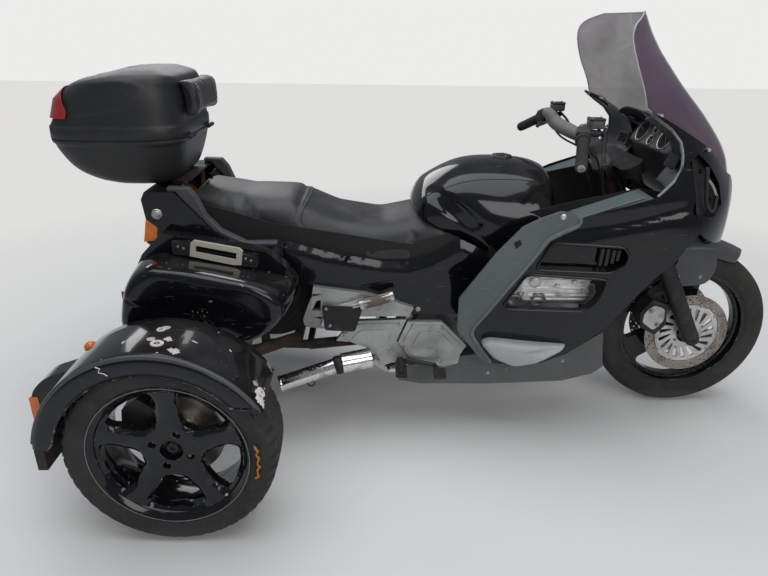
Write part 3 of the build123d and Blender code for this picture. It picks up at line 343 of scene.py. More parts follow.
# Each finish stands with the slot that its pieces usually have.
finish_table = {
    "black_paint": {
        "gloss": gloss_black("gloss_black"),
        "tank": gloss_black("tank_black", dusty=0.5),
        "box_gloss": gloss_black("pannier_black", chips=0.25, dusty=0.5),
        "filler": moulded("pale_filler", (0.55, 0.5, 0.47), 0.7),
        # The fender's bead is a satin grey lighter than its paint: a painted highlight along the crown.
        "bead": moulded("fender_bead", (0.05, 0.052, 0.055), 0.28),
        "fender": gloss_black("fender_black", fender_spots, 0.8, 0.6),
        # The mudguard's grey is lighter than black plastic: a painted highlight over the whole blade, with
        # dust on top.
        "mudguard": moulded("mudguard_black", (0.05, 0.054, 0.058), 0.3, dusty=0.5),
    },
    "grey_plastic": {
        "trim_light": moulded("trim_bead", (0.11, 0.125, 0.127), 0.45),
        "trim": moulded("faded_grey", (0.085, 0.098, 0.1), 0.5),
        "guard": moulded("guard_silver", (0.36, 0.37, 0.38), 0.35),
        "bar": moulded("bar_cover", (0.16, 0.16, 0.155), 0.6),
        "pan": moulded("pan_grey", (0.085, 0.09, 0.09), 0.5),
        "pocket": moulded("pocket_grey", (0.105, 0.135, 0.14), 0.45),
    },
    "black_plastic": {
        "trim_dark": moulded("dark_trim", (0.045, 0.05, 0.053), 0.5),
        "cowl_grey": moulded("cowl_grey", (0.095, 0.098, 0.1), 0.55, grain=0.00008),
        "cowl_edge": moulded("cowl_edge", (0.2, 0.2, 0.2), 0.45),
        # Near black for the loose wires, and painted shade for the sheets that close the view into the body
        "inner_dark": moulded("inner_dark", (0.008, 0.008, 0.008), 0.7),
        "marks": moulded("dial_marks", (0.6, 0.6, 0.58), 0.5),
        "tank_plastic": moulded("smoky_tank", (0.06, 0.06, 0.058), 0.35),
        "box_plastic": moulded("box_plastic", (0.014, 0.0143, 0.015), 0.42, grain=0.00012),
        "dark_plastic": moulded("dark_plastic", (0.014, 0.014, 0.015), 0.55),
        "cream": moulded("cream_plastic", (0.5, 0.49, 0.42), 0.5, fade=(0.4, 0.36, 0.27)),
        # Near black: the dials' faces, seams and soot, and painted shade in vents, slots and holes
        "void": moulded("dark_lining", (0.006, 0.006, 0.006), 0.8),
    },
    "bright_alloy": {
        "carrier": cast("disc_carrier", (0.62, 0.61, 0.59), 0.35, amount=0.3, metal=0.85),
        "worn_grip": moulded("worn_grip", (0.12, 0.085, 0.07), 0.75),
        "engine": cast("engine_cast", (0.3, 0.3, 0.29), 0.5),
        "cover": cast("cover_cast", (0.42, 0.43, 0.42), 0.42, amount=0.3),
        "bright": cast("bright_cast", (0.6, 0.6, 0.59), 0.3, amount=0.35, metal=0.9),
    },
    "black_alloy": {
        # A light ring for the rear rims' lip: worn paint and a painted highlight.
        "worn_edge": moulded("worn_edge", (0.2, 0.19, 0.17), 0.45),
        "wheel": gloss_black("wheel_black", chips=0.7, dusty=0.3),
        "black_cast": cast("black_cast", (0.02, 0.02, 0.021), 0.42, metal=0.2, amount=0.35),
    },
    "chassis_steel": {
        "bolt": cast("bolt_steel", (0.4, 0.39, 0.37), 0.45, amount=0.6, metal=0.9),
        "frame": worn_steel("frame_steel", (0.02, 0.02, 0.021), 0.25),
        "cradle": worn_steel("cradle_steel", (0.02, 0.019, 0.018), 0.16),
    },
    "disc_steel": {
        "front_disc": brake_disc("front_disc_steel", RX, FRONT_Z / 1000),
        "rear_disc": brake_disc("rear_disc_steel", RX + REAR_X / 1000, REAR_Z / 1000),
    },
    "tyre_rubber": {
        "tyre": rubber("tyre_rubber", (0.017, 0.017, 0.017), 0.32),
        "chalk": moulded("chalk_mark", (0.36, 0.14, 0.035), 0.8),
    },
    "grip_rubber": {"grip": rubber("grip_rubber", (0.02, 0.02, 0.02), 0.3)},
    "chrome": {"chrome": plated("worn_chrome")},
    "red_lens": {
        "red": lens("red_lens", (0.42, 0.012, 0.015)),
        "red_switch": moulded("red_switch", (0.5, 0.03, 0.02), 0.5),
    },
    "orange_lens": {"orange": lens("orange_lens", (0.85, 0.2, 0.015))},
    "clear_glass": {"glass": clear("lamp_glass", (0.75, 0.78, 0.8), 0.25)},
    "screen": {
        "smoked": clear("smoked_screen", (0.075, 0.035, 0.075), 0.5),
        "screen_edge": moulded("screen_edge", (0.45, 0.42, 0.46), 0.25),
    },
    "seat_cover": {
        "leather": leather("grained_cover", (0.018, 0.018, 0.02)),
        "piping": leather("piping_cover", (0.012, 0.012, 0.013)),
        "thread": moulded("pale_thread", (0.42, 0.41, 0.38), 0.8),
        "dark_thread": moulded("dark_thread", (0.05, 0.05, 0.052), 0.8),
    },
}
finishes = {key: made for row in finish_table.values() for key, made in row.items()}


def make_floor():
    reach = 14
    mesh = bpy.data.meshes.new("floor")
    corners = [(-reach, -reach, 0), (reach, -reach, 0), (reach, reach, 0), (-reach, reach, 0)]
    mesh.from_pydata(corners, [], [(0, 1, 2, 3)])
    f = Finish("floor_pale", (0.74, 0.735, 0.72), 0.85, level=0.1, bevel=0)
    f.paint(f.cloud(2, 0.3, 0.7, 3), (0.72, 0.71, 0.7), 0.9, 0.6)
    mesh.materials.append(f.done())
    away = f.node("VectorMath", f.place, operation="LENGTH")
    far = f.ramp(away.outputs["Value"], 1.5, 3.6)
    glow = f.node("Emission", Color=(0.74, 0.735, 0.725, 1), Strength=1.0)
    seen = f.maths("MULTIPLY", far, f.node("LightPath").outputs["Is Camera Ray"])
    blend = f.node("MixShader", seen, f.shader.outputs[0], glow.outputs[0])
    f.feed(f.tree.nodes["Material Output"].inputs["Surface"], blend.outputs[0])
    put("floor", mesh)


def at(x, y, z):
    """A place given in millimetres from the front axle."""
    return Vector((x / 1000 + RX, y / 1000, z / 1000))


def polar(radius, degrees):
    return radius * math.cos(math.radians(degrees)), radius * math.sin(math.radians(degrees))


def circle(radius, count, x=0.0, z=0.0):
    spots = [polar(radius, k * 360 / count) for k in range(count)]
    return [(x + a, z + b) for a, b in spots]


def other_hand(name):
    return name[:-6] + "_left" if name.endswith("_right") else name


def bm_from(verts, faces):
    bm = bmesh.new()
    made = [bm.verts.new(v) for v in verts]
    for f in faces:
        bm.faces.new([made[k] for k in f])
    return bm


def taken_from(bm):
    bm.verts.index_update()
    verts = [v.co.copy() for v in bm.verts]
    faces = [[v.index for v in f.verts] for f in bm.faces]
    bm.free()
    return verts, faces


def cut_away(bm, place, way, behind=True):
    """Cuts a mesh by a plane and drops what lies behind it, or else what lies before it."""
    everything = bm.verts[:] + bm.edges[:] + bm.faces[:]
    bmesh.ops.bisect_plane(
        bm, geom=everything, plane_co=place, plane_no=way, clear_inner=behind, clear_outer=not behind
    )


def prepared(mesh, finish, sharp, cad=False):
    """Welds a mesh, marks its sharp edges and gives it its finish."""
    bm = bmesh.new()
    bm.from_mesh(mesh)
    bmesh.ops.remove_doubles(bm, verts=bm.verts, dist=0.00004 if cad else 0.00002)
    if cad:
        bmesh.ops.dissolve_limit(bm, angle_limit=math.radians(0.6), verts=bm.verts, edges=bm.edges)
    else:
        bmesh.ops.recalc_face_normals(bm, faces=bm.faces)
    for edge in bm.edges:
        edge.smooth = not (len(edge.link_faces) == 2 and edge.calc_face_angle(0) > math.radians(sharp))
    for side in bm.faces:
        side.smooth = True
    bm.to_mesh(mesh)
    bm.free()
    mesh.materials.clear()
    mesh.materials.append(finishes[finish])


def mirrored(mesh):
    mesh.transform(Matrix.Scale(-1, 4, (0, 1, 0)))
    mesh.flip_normals()
    return mesh


def soften_edges(thing, width, segments, angle, harden=False):
    soft = thing.modifiers.new("soft_edges", "BEVEL")
    soft.width = width
    soft.segments = segments
    soft.limit_method = "ANGLE"
    soft.angle_limit = math.radians(angle)
    soft.harden_normals = harden


def add_piece(
    name, verts, faces, finish, body="chassis", slot=None, node=None,
    sharp=38, bevel=0.0, both=False, flip=False, wall=0.0, wall_offset=-1,
):
    """A mesh piece in metres that may stand for a node.

    With both, its mirror image is added on the rider's left. With flip, only the mirror image is made.
    """
    mesh = bpy.data.meshes.new(name)
    mesh.from_pydata([tuple(v) for v in verts], [], [tuple(f) for f in faces])
    prepared(mesh, finish, sharp)
    if flip:
        mirrored(mesh)
    made = [put(name + "_right" if both else name, mesh)]
    if both:
        made.append(put(name + "_left", mirrored(mesh.copy())))
    for thing, own in zip(made, (str, other_hand)):
        if bevel:
            soften_edges(thing, bevel, 2, 35)
        if wall:
            thick = thing.modifiers.new("wall", "SOLIDIFY")
            thick.thickness = wall
            thick.offset = wall_offset
        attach(thing, own(body))
        if node:
            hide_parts(own(node))
    return made[0]


class Sections:
    """A shape known by rows of sizes, read smoothly between them."""

    def __init__(self, table):
        self.rows = sorted(table)

    def row(self, x):
        rows = self.rows
        x = min(max(x, rows[0][0]), rows[-1][0])
        i = max(k for k in range(len(rows) - 1) if rows[k][0] <= x)
        a, b = rows[i], rows[i + 1]
        before = rows[i - 1] if i else a
        after = rows[i + 2] if i + 2 < len(rows) else b
        span = b[0] - a[0]
        t = (x - a[0]) / span
        out = []
        for k in range(1, len(a)):
            lean_a = (b[k] - before[k]) / (b[0] - before[0]) * span
            lean_b = (after[k] - a[k]) / (after[0] - a[0]) * span
            out.append(
                (2 * t**3 - 3 * t**2 + 1) * a[k] + (t**3 - 2 * t**2 + t) * lean_a
                + (3 * t**2 - 2 * t**3) * b[k] + (t**3 - t**2) * lean_b
            )
        return out

    def reach(self, x, z):
        """Half width of the bowed side at a height."""
        low, mid, high, w_low, w_mid, w_high, _ = self.row(x)
        z = min(max(z, low), high)
        p, q = (mid - low, w_mid - w_low), (high - low, w_high - w_low)
        turn = 2 * (p[0] * q[1] - p[1] * q[0])
        if abs(turn) < 1:
            return w_low + (w_high - w_low) * (z - low) / (high - low)
        pp, qq = p[0] ** 2 + p[1] ** 2, q[0] ** 2 + q[1] ** 2
        cz, cy = (q[1] * pp - p[1] * qq) / turn, (p[0] * qq - q[0] * pp) / turn
        return w_low + cy + math.sqrt(max(cz**2 + cy**2 - (z - low - cz) ** 2, 0))

    def ring(self, x, count, soft):
        low, _, high, w_low, _, w_high, crown = self.row(x)
        steps = [k / 24 for k in range(25)]
        half = [(w_low * t, low) for t in steps]
        half += [(self.reach(x, low + (high - low) * t), low + (high - low) * t) for t in steps[1:]]
        half += [(w_high * (1 - t), high + crown * (1 - (1 - t) ** 2)) for t in steps[1:]]
        line = half + [(-y, z) for y, z in half[-2:0:-1]] + [half[0]]
        return [at(x, y, z) for y, z in eased(resampled(line, count), soft)]


def eased(ring, times):
    for _ in range(times):
        ring = (np.roll(ring, 1, 0) + 2 * ring + np.roll(ring, -1, 0)) / 4
    return ring


def resampled(line, count, closed=True):
    """Points spaced evenly along a line."""
    line = np.asarray(line, float)
    gone = np.concatenate([[0], np.cumsum(np.linalg.norm(np.diff(line, axis=0), axis=1))])
    marks = np.linspace(0, gone[-1], count, endpoint=not closed)
    return np.stack([np.interp(marks, gone, line[:, k]) for k in range(line.shape[1])], 1)


def looped(line, count):
    """A closed outline resampled to an even count."""
    return resampled([*line, line[0]], count)


def corner_curve(a, corner, b, steps):
    a, corner, b = (np.array(p, float) for p in (a, corner, b))
    marks = [k / steps for k in range(steps + 1)]
    return [tuple((1 - t) ** 2 * a + 2 * t * (1 - t) * corner + t**2 * b) for t in marks]


def rounded(points, radius, steps=5):
    """A closed outline with its corners rounded."""
    out = []
    for i, corner in enumerate(points):
        here = np.array(corner, float)
        a, b = (np.array(points[k % len(points)], float) - here for k in (i - 1, i + 1))
        long_a, long_b = np.linalg.norm(a), np.linalg.norm(b)
        cut = min(radius, 0.45 * long_a, 0.45 * long_b)
        out += corner_curve(here + a / long_a * cut, here, here + b / long_b * cut, steps)
    return out


def depth_inside(points, outline):
    """How far each point lies inside an outline; outside it is negative."""
    points = np.asarray(points, float)
    loop = np.asarray(outline, float)
    inside = np.zeros(len(points), bool)
    best = np.full(len(points), 1e9)
    for a, b in zip(loop, np.roll(loop, -1, 0)):
        way = b - a
        t = np.clip(((points - a) @ way) / max(way @ way, 1e-9), 0, 1)
        best = np.minimum(best, np.linalg.norm(points - a - t[:, None] * way, axis=1))
        crosses = (a[1] > points[:, 1]) != (b[1] > points[:, 1])
        rise = b[1] - a[1] if abs(b[1] - a[1]) > 1e-9 else 1e-9
        inside ^= crosses & (points[:, 0] < (b[0] - a[0]) * (points[:, 1] - a[1]) / rise + a[0])
    return np.where(inside, best, -best)


def between(points, loops, margin=0):
    """Which points lie inside the first loop and outside the others."""
    good = depth_inside(points, loops[0]) > margin
    for loop in loops[1:]:
        good &= depth_inside(points, loop) < -margin
    return good


def step_up(value, start, end):
    t = np.clip((value - start) / (end - start), 0, 1)
    return t * t * (3 - 2 * t)


def hump(value, middle, width):
    return np.exp(-(((value - middle) / width) ** 2))


def lofted(rings, closed=True, caps=(True, True)):
    """Points and faces of a skin through rings of equal count."""
    count = len(rings[0])
    verts = [v for ring in rings for v in ring]
    faces = []
    for r in range(len(rings) - 1):
        for k in range(count if closed else count - 1):
            a, b = r * count + k, r * count + (k + 1) % count
            faces.append((a, b, b + count, a + count))
    for cap, r in zip(caps, (0, len(rings) - 1)):
        if cap:
            verts.append(sum((Vector(v) for v in rings[r]), Vector()) / count)
            last = len(verts) - 1
            faces += [(r * count + k, r * count + (k + 1) % count, last) for k in range(count)]
    return verts, faces


def plugged(rings):
    """A skin through rings whose two ends are one flat face each."""
    verts, faces = lofted(rings, caps=OPEN)
    count = len(rings[0])
    return verts, [*faces, tuple(range(count)), tuple(range(len(verts) - count, len(verts)))]


def joined(parts):
    """Several skins as one."""
    verts, faces = [], []
    for some, sides in parts:
        faces += [tuple(k + len(verts) for k in f) for f in sides]
        verts += some
    return verts, faces


def round_ring(centre, a, b, radius, count):
    turns = [k * math.tau / count for k in range(count)]
    return [centre + (a * math.cos(turn) + b * math.sin(turn)) * radius for turn in turns]


def frame_round(way):
    """Two directions square to a third."""
    side = way.orthogonal().normalized()
    return side, way.cross(side)


def tube(name, points, radius, finish, *more, closed=False, smooth=True, **rest):
    """A round bar or bead along points given in metres."""
    points = [Vector(p) for p in points]
    if smooth and not closed and len(points) > 2:
        points = [Vector(p) for p in smooth_line(points)]
    sides = 10
    count = len(points)
    rings = []
    normal = None
    for i, here in enumerate(points):
        before = points[i - 1] if i or closed else here
        after = points[(i + 1) % count] if i < count - 1 or closed else here
        way = (after - before).normalized()
        if normal is None:
            normal = way.orthogonal().normalized()
        normal = (normal - way * normal.dot(way)).normalized()
        fat = radius[i] if isinstance(radius, (list, tuple)) else radius
        rings.append(round_ring(here, normal, way.cross(normal), fat, sides))
    verts, faces = lofted(rings, caps=(not closed, not closed))
    if closed:
        last = (count - 1) * sides
        turns = min(range(sides), key=lambda k: (rings[0][k] - rings[-1][0]).length)
        for k in range(sides):
            a, b = last + k, last + (k + 1) % sides
            faces.append((a, b, (k + 1 + turns) % sides, (k + turns) % sides))
    return add_piece(name, verts, faces, finish, *more, sharp=60, **rest)


def smooth_line(points, steps=8):
    """A curve through points."""
    path = Sections([[i, *p] for i, p in enumerate(points)])
    return [path.row(k / steps) for k in range((len(points) - 1) * steps + 1)]


def turned(name, profile, centre, axis, finish, *more, steps=64, **rest):
    """A turned piece: radius and place along the axis, in millimetres."""
    axis = Vector(axis).normalized()
    side, other = frame_round(axis)
    rings = [
        round_ring(centre + axis * (along / 1000), side, other, max(radius, 0.01) / 1000, steps)
        for radius, along in profile
    ]
    whole = profile[0] != profile[-1]
    return add_piece(name, *lofted(rings, caps=(whole, whole)), finish, *more, **rest)


def triangulated(drawn, loops, extra=()):
    """Triangles between the drawn loops, with the extra points among them."""
    flat, edges = [], []
    for loop in drawn:
        start = len(flat)
        flat += [Vector(p) for p in loop]
        edges += [(start + k, start + (k + 1) % len(loop)) for k in range(len(loop))]
    flat += [Vector(p) for p in extra]
    spots, _, faces, _, _, _ = geometry.delaunay_2d_cdt(flat, edges, [], 0, 0.01)
    centres = [[(spots[f[0]][k] + spots[f[1]][k] + spots[f[2]][k]) / 3 for k in (0, 1)] for f in faces]
    return spots, [f for f, good in zip(faces, between(centres, loops)) if good]


def plate(name, outline, y, finish, *more, bevel=0.0012, holes=(), **rest):
    """A flat piece cut to an outline in x and z and standing between two places in y, in millimetres."""
    loops = [outline, *holes]
    spots, faces = triangulated(loops, loops)
    bm = bm_from([at(p[0], y[0], p[1]) for p in spots], faces)
    bmesh.ops.dissolve_limit(bm, angle_limit=0.01, verts=bm.verts, edges=bm.edges)
    grown = bmesh.ops.extrude_face_region(bm, geom=bm.faces[:])
    for item in grown["geom"]:
        if isinstance(item, bmesh.types.BMVert):
            item.co.y = y[1] / 1000
    bmesh.ops.delete(bm, geom=[v for v in bm.verts if not v.link_faces], context="VERTS")
    return add_piece(name, *taken_from(bm), finish, *more, bevel=bevel, **rest)


def curved_plate(name, outline, holes, reach, wall, finish, *more, step=14.0, bevel=0.0016, **rest):
    """A sheet that follows a bowed side: reach gives its half width at x and z, all in millimetres."""
    loops = [list(outline), *(list(hole) for hole in holes)]
    drawn = []
    for loop in loops:
        length = sum(math.dist(a, b) for a, b in zip(loop, loop[1:] + loop[:1]))
        drawn.append(looped(loop, int(length / 7)))
    xs, zs = zip(*outline)
    grid = [
        (x + (step / 2 if j % 2 else 0), z)
        for j, z in enumerate(np.arange(min(zs), max(zs), step * 0.87))
        for x in np.arange(min(xs), max(xs), step)
    ]
    extra = [p for p, good in zip(grid, between(grid, loops, 5)) if good]
    spots, faces = triangulated(drawn, loops, extra)
    outer = [at(p[0], -reach(p[0], p[1]), p[1]) for p in spots]
    count = len(outer)
    skin = outer + [v + Vector((0, wall / 1000, 0)) for v in outer]
    sheet = [tuple(f) for f in faces] + [tuple(k + count for k in reversed(f)) for f in faces]
    rims = dict.fromkeys((a, b) for f in faces for a, b in zip(f, list(f[1:]) + [f[0]]))
    sheet += [(b, a, a + count, b + count) for a, b in rims if (b, a) not in rims]
    used = sorted({k for f in sheet for k in f})
    number = {k: i for i, k in enumerate(used)}
    faces = [tuple(number[k] for k in f) for f in sheet]
    return add_piece(name, [skin[k] for k in used], faces, finish, *more, sharp=50, bevel=bevel, **rest)


def evaluated(thing):
    bpy.context.view_layer.update()
    return bpy.data.meshes.new_from_object(thing.evaluated_get(bpy.context.evaluated_depsgraph_get()))


def puffed(name, node, voxel, shrink, cap, soften, shape):
    """A padded piece: the solid's mesh is remeshed, blown up as cloth, capped and shaped."""
    thing = put(name, nodes[node].data.copy())
    mesher = thing.modifiers.new("voxels", "REMESH")
    mesher.mode = "VOXEL"
    mesher.voxel_size = voxel
    thing.data = evaluated(thing)
    thing.modifiers.clear()
    bm = bmesh.new()
    bm.from_mesh(thing.data)
    every_axis = dict.fromkeys(("use_axis_x", "use_axis_y", "use_axis_z"), True)
    for _ in range(soften):
        bmesh.ops.smooth_vert(bm, verts=bm.verts, factor=0.5, **every_axis)
    bm.normal_update()
    for v in bm.verts:
        v.co -= v.normal * shrink
    bm.to_mesh(thing.data)
    bm.free()
    start = np.array([v.co for v in thing.data.vertices])
    cloth = thing.modifiers.new("air", "CLOTH")
    cloth.settings.use_pressure = True
    cloth.settings.uniform_pressure_force = 4.0
    cloth.settings.effector_weights.gravity = 0
    cloth.settings.quality = 4
    cloth.point_cache.frame_start, cloth.point_cache.frame_end = 1, 20
    for moment in range(1, 21):
        scene.frame_set(moment)
    moved = np.array([v.co for v in evaluated(thing).vertices]) - start
    scene.frame_set(1)
    thing.modifiers.clear()
    far = np.linalg.norm(moved, axis=1, keepdims=True)
    start = start + moved * np.minimum(1, cap / np.maximum(far, 1e-9))
    thing.data.vertices.foreach_set("co", shape(start).astype(np.float32).ravel())
    thing.data.update()
    finer = thing.modifiers.new("smooth", "SUBSURF")
    finer.levels = finer.render_levels = 1
    thing.data = evaluated(thing)
    thing.modifiers.clear()
    for side in thing.data.polygons:
        side.use_smooth = True
    thing.data.materials.clear()
    thing.data.materials.append(finishes["leather"])
    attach(thing, body_of[node])
    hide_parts(node)
    return surface_of(thing)


def surface_of(thing):
    mesh = thing.data
    return BVHTree.FromPolygons([v.co for v in mesh.vertices], [p.vertices for p in mesh.polygons])


def laid_on(tree, points, way, lift):
    """Points dropped onto a surface along a direction."""
    hits = [tree.ray_cast(Vector(p), Vector(way)) for p in points]
    return [spot + normal * lift for spot, normal, _, _ in hits if spot is not None]


def stitches(name, line, finish, body="chassis", length=0.0055, gap=0.0025, fat=0.0007):
    """A row of small raised stitches along a line."""
    line = np.array([tuple(p) for p in line])
    total = np.linalg.norm(np.diff(line, axis=0), axis=1).sum()
    count = int(total / (length + gap))
    ends = resampled(line, count * 2 + 1, closed=False)
    parts = []
    for k in range(count):
        a, b = Vector(ends[2 * k]), Vector(ends[2 * k + 1])
        reach = (b - a) * (2 * length / (length + gap))
        side, other = frame_round(reach.normalized())
        sizes = ((0, 0.5), (0.25, 1), (0.75, 1), (1, 0.5))
        parts.append(plugged([round_ring(a + reach * t, side, other, fat * size, 5) for t, size in sizes]))
    add_piece(name, *joined(parts), finish, body)


def bolts(name, places, way, radius, height, finish="bolt", *more, hexed=True, **rest):
    """Screw heads with a rounded crown, six-sided or round, their places in millimetres."""
    way = Vector(way).normalized()
    side, other = frame_round(way)
    sizes = ((1.25, -0.6), (1.25, 0.1), (1.0, 0.12), (1.0, 0.8), (0.8, 1.0), (0.35, 0.92))
    parts = []
    for place in places:
        rings = []
        for size, up in sizes:
            middle = at(*place) + way * (height * up / 1000)
            rings.append(round_ring(middle, side, other, radius * size / 1000, 6 if hexed else 16))
        parts.append(plugged(rings))
    add_piece(name, *joined(parts), finish, *more, sharp=30, **rest)


def softened(node, finish, bevel, sharp):
    """A CAD piece welded, with smooth shading and rounded edges, standing for its node."""
    mesh = nodes[node].data.copy()
    prepared(mesh, finish, sharp, cad=True)
    thing = put(node + "_soft", mesh)
    soften_edges(thing, bevel, 3, sharp, harden=True)
    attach(thing, body_of[node])
    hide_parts(node)


# Tank
tank = Sections([
    (-1046, 715, 790, 822, 112, 150, 105, 14),
    (-990, 712, 810, 866, 130, 178, 118, 24),
    (-880, 700, 820, 912, 150, 204, 135, 33),
    (-760, 655, 810, 922, 196, 216, 140, 36),
    (-640, 640, 800, 912, 200, 210, 132, 34),
    (-560, 655, 800, 884, 170, 186, 120, 28),
])
SCOOP = rounded([
    (-1010, 893), (-930, 876), (-864, 830), (-806, 772), (-850, 735), (-935, 790), (-1010, 850),
], 22)


def pulled_in(ring, size):
    middle = sum(ring, Vector()) / len(ring)
    return [middle + (p - middle) * size for p in ring]


def make_tank():
    rings = []
    for x in np.concatenate([-1046 + 45 * np.linspace(0, 1, 12) ** 2, np.linspace(-995, -560, 74)]):
        end = min(1.0, max(0.0, (-1001 - x) / 45.5, (x + 600) / 42))
        rings.append(pulled_in(tank.ring(x, 160, 7), math.sqrt(1 - (0.93 * end) ** 2)))
    verts, faces = lofted(rings)
    points = np.array([tuple(v) for v in verts])
    flat = np.stack([(points[:, 0] - RX) * 1000, points[:, 2] * 1000], 1)
    dent = step_up(depth_inside(flat, SCOOP), -3, 22) * 0.011
    dent *= step_up(np.abs(points[:, 1]), 0.09, 0.13)
    points[:, 1] -= np.sign(points[:, 1]) * dent
    bm = bm_from(points, faces)
    cut_away(bm, at(-870, 0, 706), Vector((132, 0, 230)).normalized())
    bmesh.ops.holes_fill(bm, edges=[e for e in bm.edges if e.is_boundary])
    tree = surface_of(add_piece("fuel_tank_skin", *taken_from(bm), "tank", node="tank", sharp=50))
    for side, label in SIDES:
        seam = [at(x, side * 400, tank.row(x)[2] - 11) for x in range(-1020, -600, 12)]
        line = laid_on(tree, seam, (0, -side, 0), 0.0002)
        tube("tank_edge_line_" + label, line, 0.0011, "void", slot="black_paint", smooth=False)


# Seat
def shape_seat(points):
    flat_x = (points[:, 0] - RX) * 1000
    up = points[:, 2] * 1000
    reach = np.abs(points[:, 1]) * 1000
    step = flat_x + (up - 800) * 0.35 + (reach / 200) ** 2 * 26
    points[:, 2] -= hump(step, -1402, 7) * 0.005 * step_up(up, 690, 720)
    fold_x = (-1700, -1560, -1440, -1300, -1150, -1050, -980, -900)
    fold_z = np.interp(flat_x, fold_x, (775, 722, 692, 655, 632, 632, 655, 710))
    points[:, 1] -= np.sign(points[:, 1]) * hump(up, fold_z, 5) * 0.0035 * step_up(reach, 120, 150)
    return points


def make_seat():
    tree = puffed("saddle_cushion", "seat", 0.008, 0.006, 0.011, 16, shape_seat)
    lower = [
        (-1700, 768), (-1630, 742), (-1560, 716), (-1500, 700), (-1440, 686), (-1370, 668), (-1300, 648),
        (-1225, 634), (-1150, 624), (-1090, 622), (-1040, 627), (-990, 646), (-940, 676), (-905, 702),
    ]
    for side, label in SIDES:
        line = laid_on(tree, [at(x, side * 400, z) for x, z in lower], (0, -side, 0), 0.001)
        tube("saddle_piping_" + label, line, 0.0034, "piping")
        above = laid_on(tree, [at(x, side * 400, z + 11) for x, z in lower], (0, -side, 0), 0.0004)
        stitches("saddle_stitching_" + label, smooth_line(above), "dark_thread")
    across = [at(-1390 - (y / 200) ** 2 * 26, y, 1000) for y in range(-176, 177, 16)]
    line = laid_on(tree, across, (0, 0, -1), 0.0004)
    tube("saddle_cross_piping", line, 0.0026, "piping")
    beside = [p + Vector((-0.009, 0, 0.001)) for p in line]
    stitches("saddle_cross_stitching", smooth_line(beside), "dark_thread")


# Top box: height, front, rear and half width
base_rows = Sections([
    (892, -1822, -2020, 168), (905, -1802, -2075, 188), (940, -1785, -2128, 208), (1000, -1768, -2162, 228),
    (1035, -1762, -2170, 236),
])
lid_rows = Sections([
    (1035.3, -1762, -2170, 236), (1075, -1762, -2168, 236), (1102, -1763, -2155, 235),
    (1151, -1766, -2139, 232), (1185, -1773, -2103, 226), (1207, -1780, -2056, 221),
    (1219, -1796, -2000, 205), (1234, -1840, -1940, 150),
])
SWOOSH = rounded([
    (-2092, 1190), (-2022, 1210), (-1906, 1216), (-1838, 1192), (-1858, 1160), (-1905, 1127), (-2010, 1108),
    (-2064, 1103), (-2072, 1140),
], 30)
BOX_TOP = rounded([(-2060, 60), (-2060, -60), (-1850, -88), (-1850, 88)], 30)
BOX_COUNT = 240
BOX_WALL = 4
BELT = 4.0


def box_ring(rows, z, grow=0.0):
    front, rear, half = rows.row(z)
    front, rear, half = front + grow, rear - grow, half + grow
    radius = min(118, (front - rear) * 0.42, half * 0.8)
    loop = [(front, 0)]
    for ends, over in ((1, 1), (-1, 1), (-1, -1), (1, -1)):
        x, y = front if ends > 0 else rear, over * half
        a, b = (x, y - over * radius), (x - ends * radius, y)
        if ends * over < 0:
            a, b = b, a
        loop += corner_curve(a, (x, y), b, 12)
    return [at(x, y, z) for x, y in eased(looped(loop, BOX_COUNT), 6)]


def box_shell(name, rows, profile, node):
    rings = [box_ring(rows, z, grow) for z, grow in profile]
    inner = [box_ring(rows, z, -BOX_WALL) for z, grow in profile if abs(z - profile[-1][0]) > BOX_WALL]
    verts, faces = lofted(rings[::-1] + inner)
    points = np.array([tuple(v) for v in verts])
    if rows is lid_rows:
        outer = np.arange(len(points)) < len(rings) * BOX_COUNT
        flat = np.stack([(points[:, 0] - RX) * 1000, points[:, 2] * 1000], 1)
        lift = step_up(depth_inside(flat, SWOOSH), -2, 8) * 0.0035 * step_up(np.abs(points[:, 1]), 0.15, 0.19)
        points[:, 1] += np.sign(points[:, 1]) * lift * outer
        top = depth_inside(np.stack([flat[:, 0], points[:, 1] * 1000], 1), BOX_TOP)
        points[:, 2] += step_up(top, -3, 8) * 0.0025 * step_up(points[:, 2], 1.19, 1.205) * outer
    add_piece(name, points, faces, "box_plastic", body_of[node], node=node, sharp=60)


def shape_pad(points):
    way = points - np.array([RX - 1.775, 0, 1.15])
    way[:, 1] = 0
    way /= np.maximum(np.linalg.norm(way, axis=1, keepdims=True), 1e-6)
    return points - way * hump(np.abs(points[:, 1]) * 1000, 104, 3.2)[:, None] * 0.003


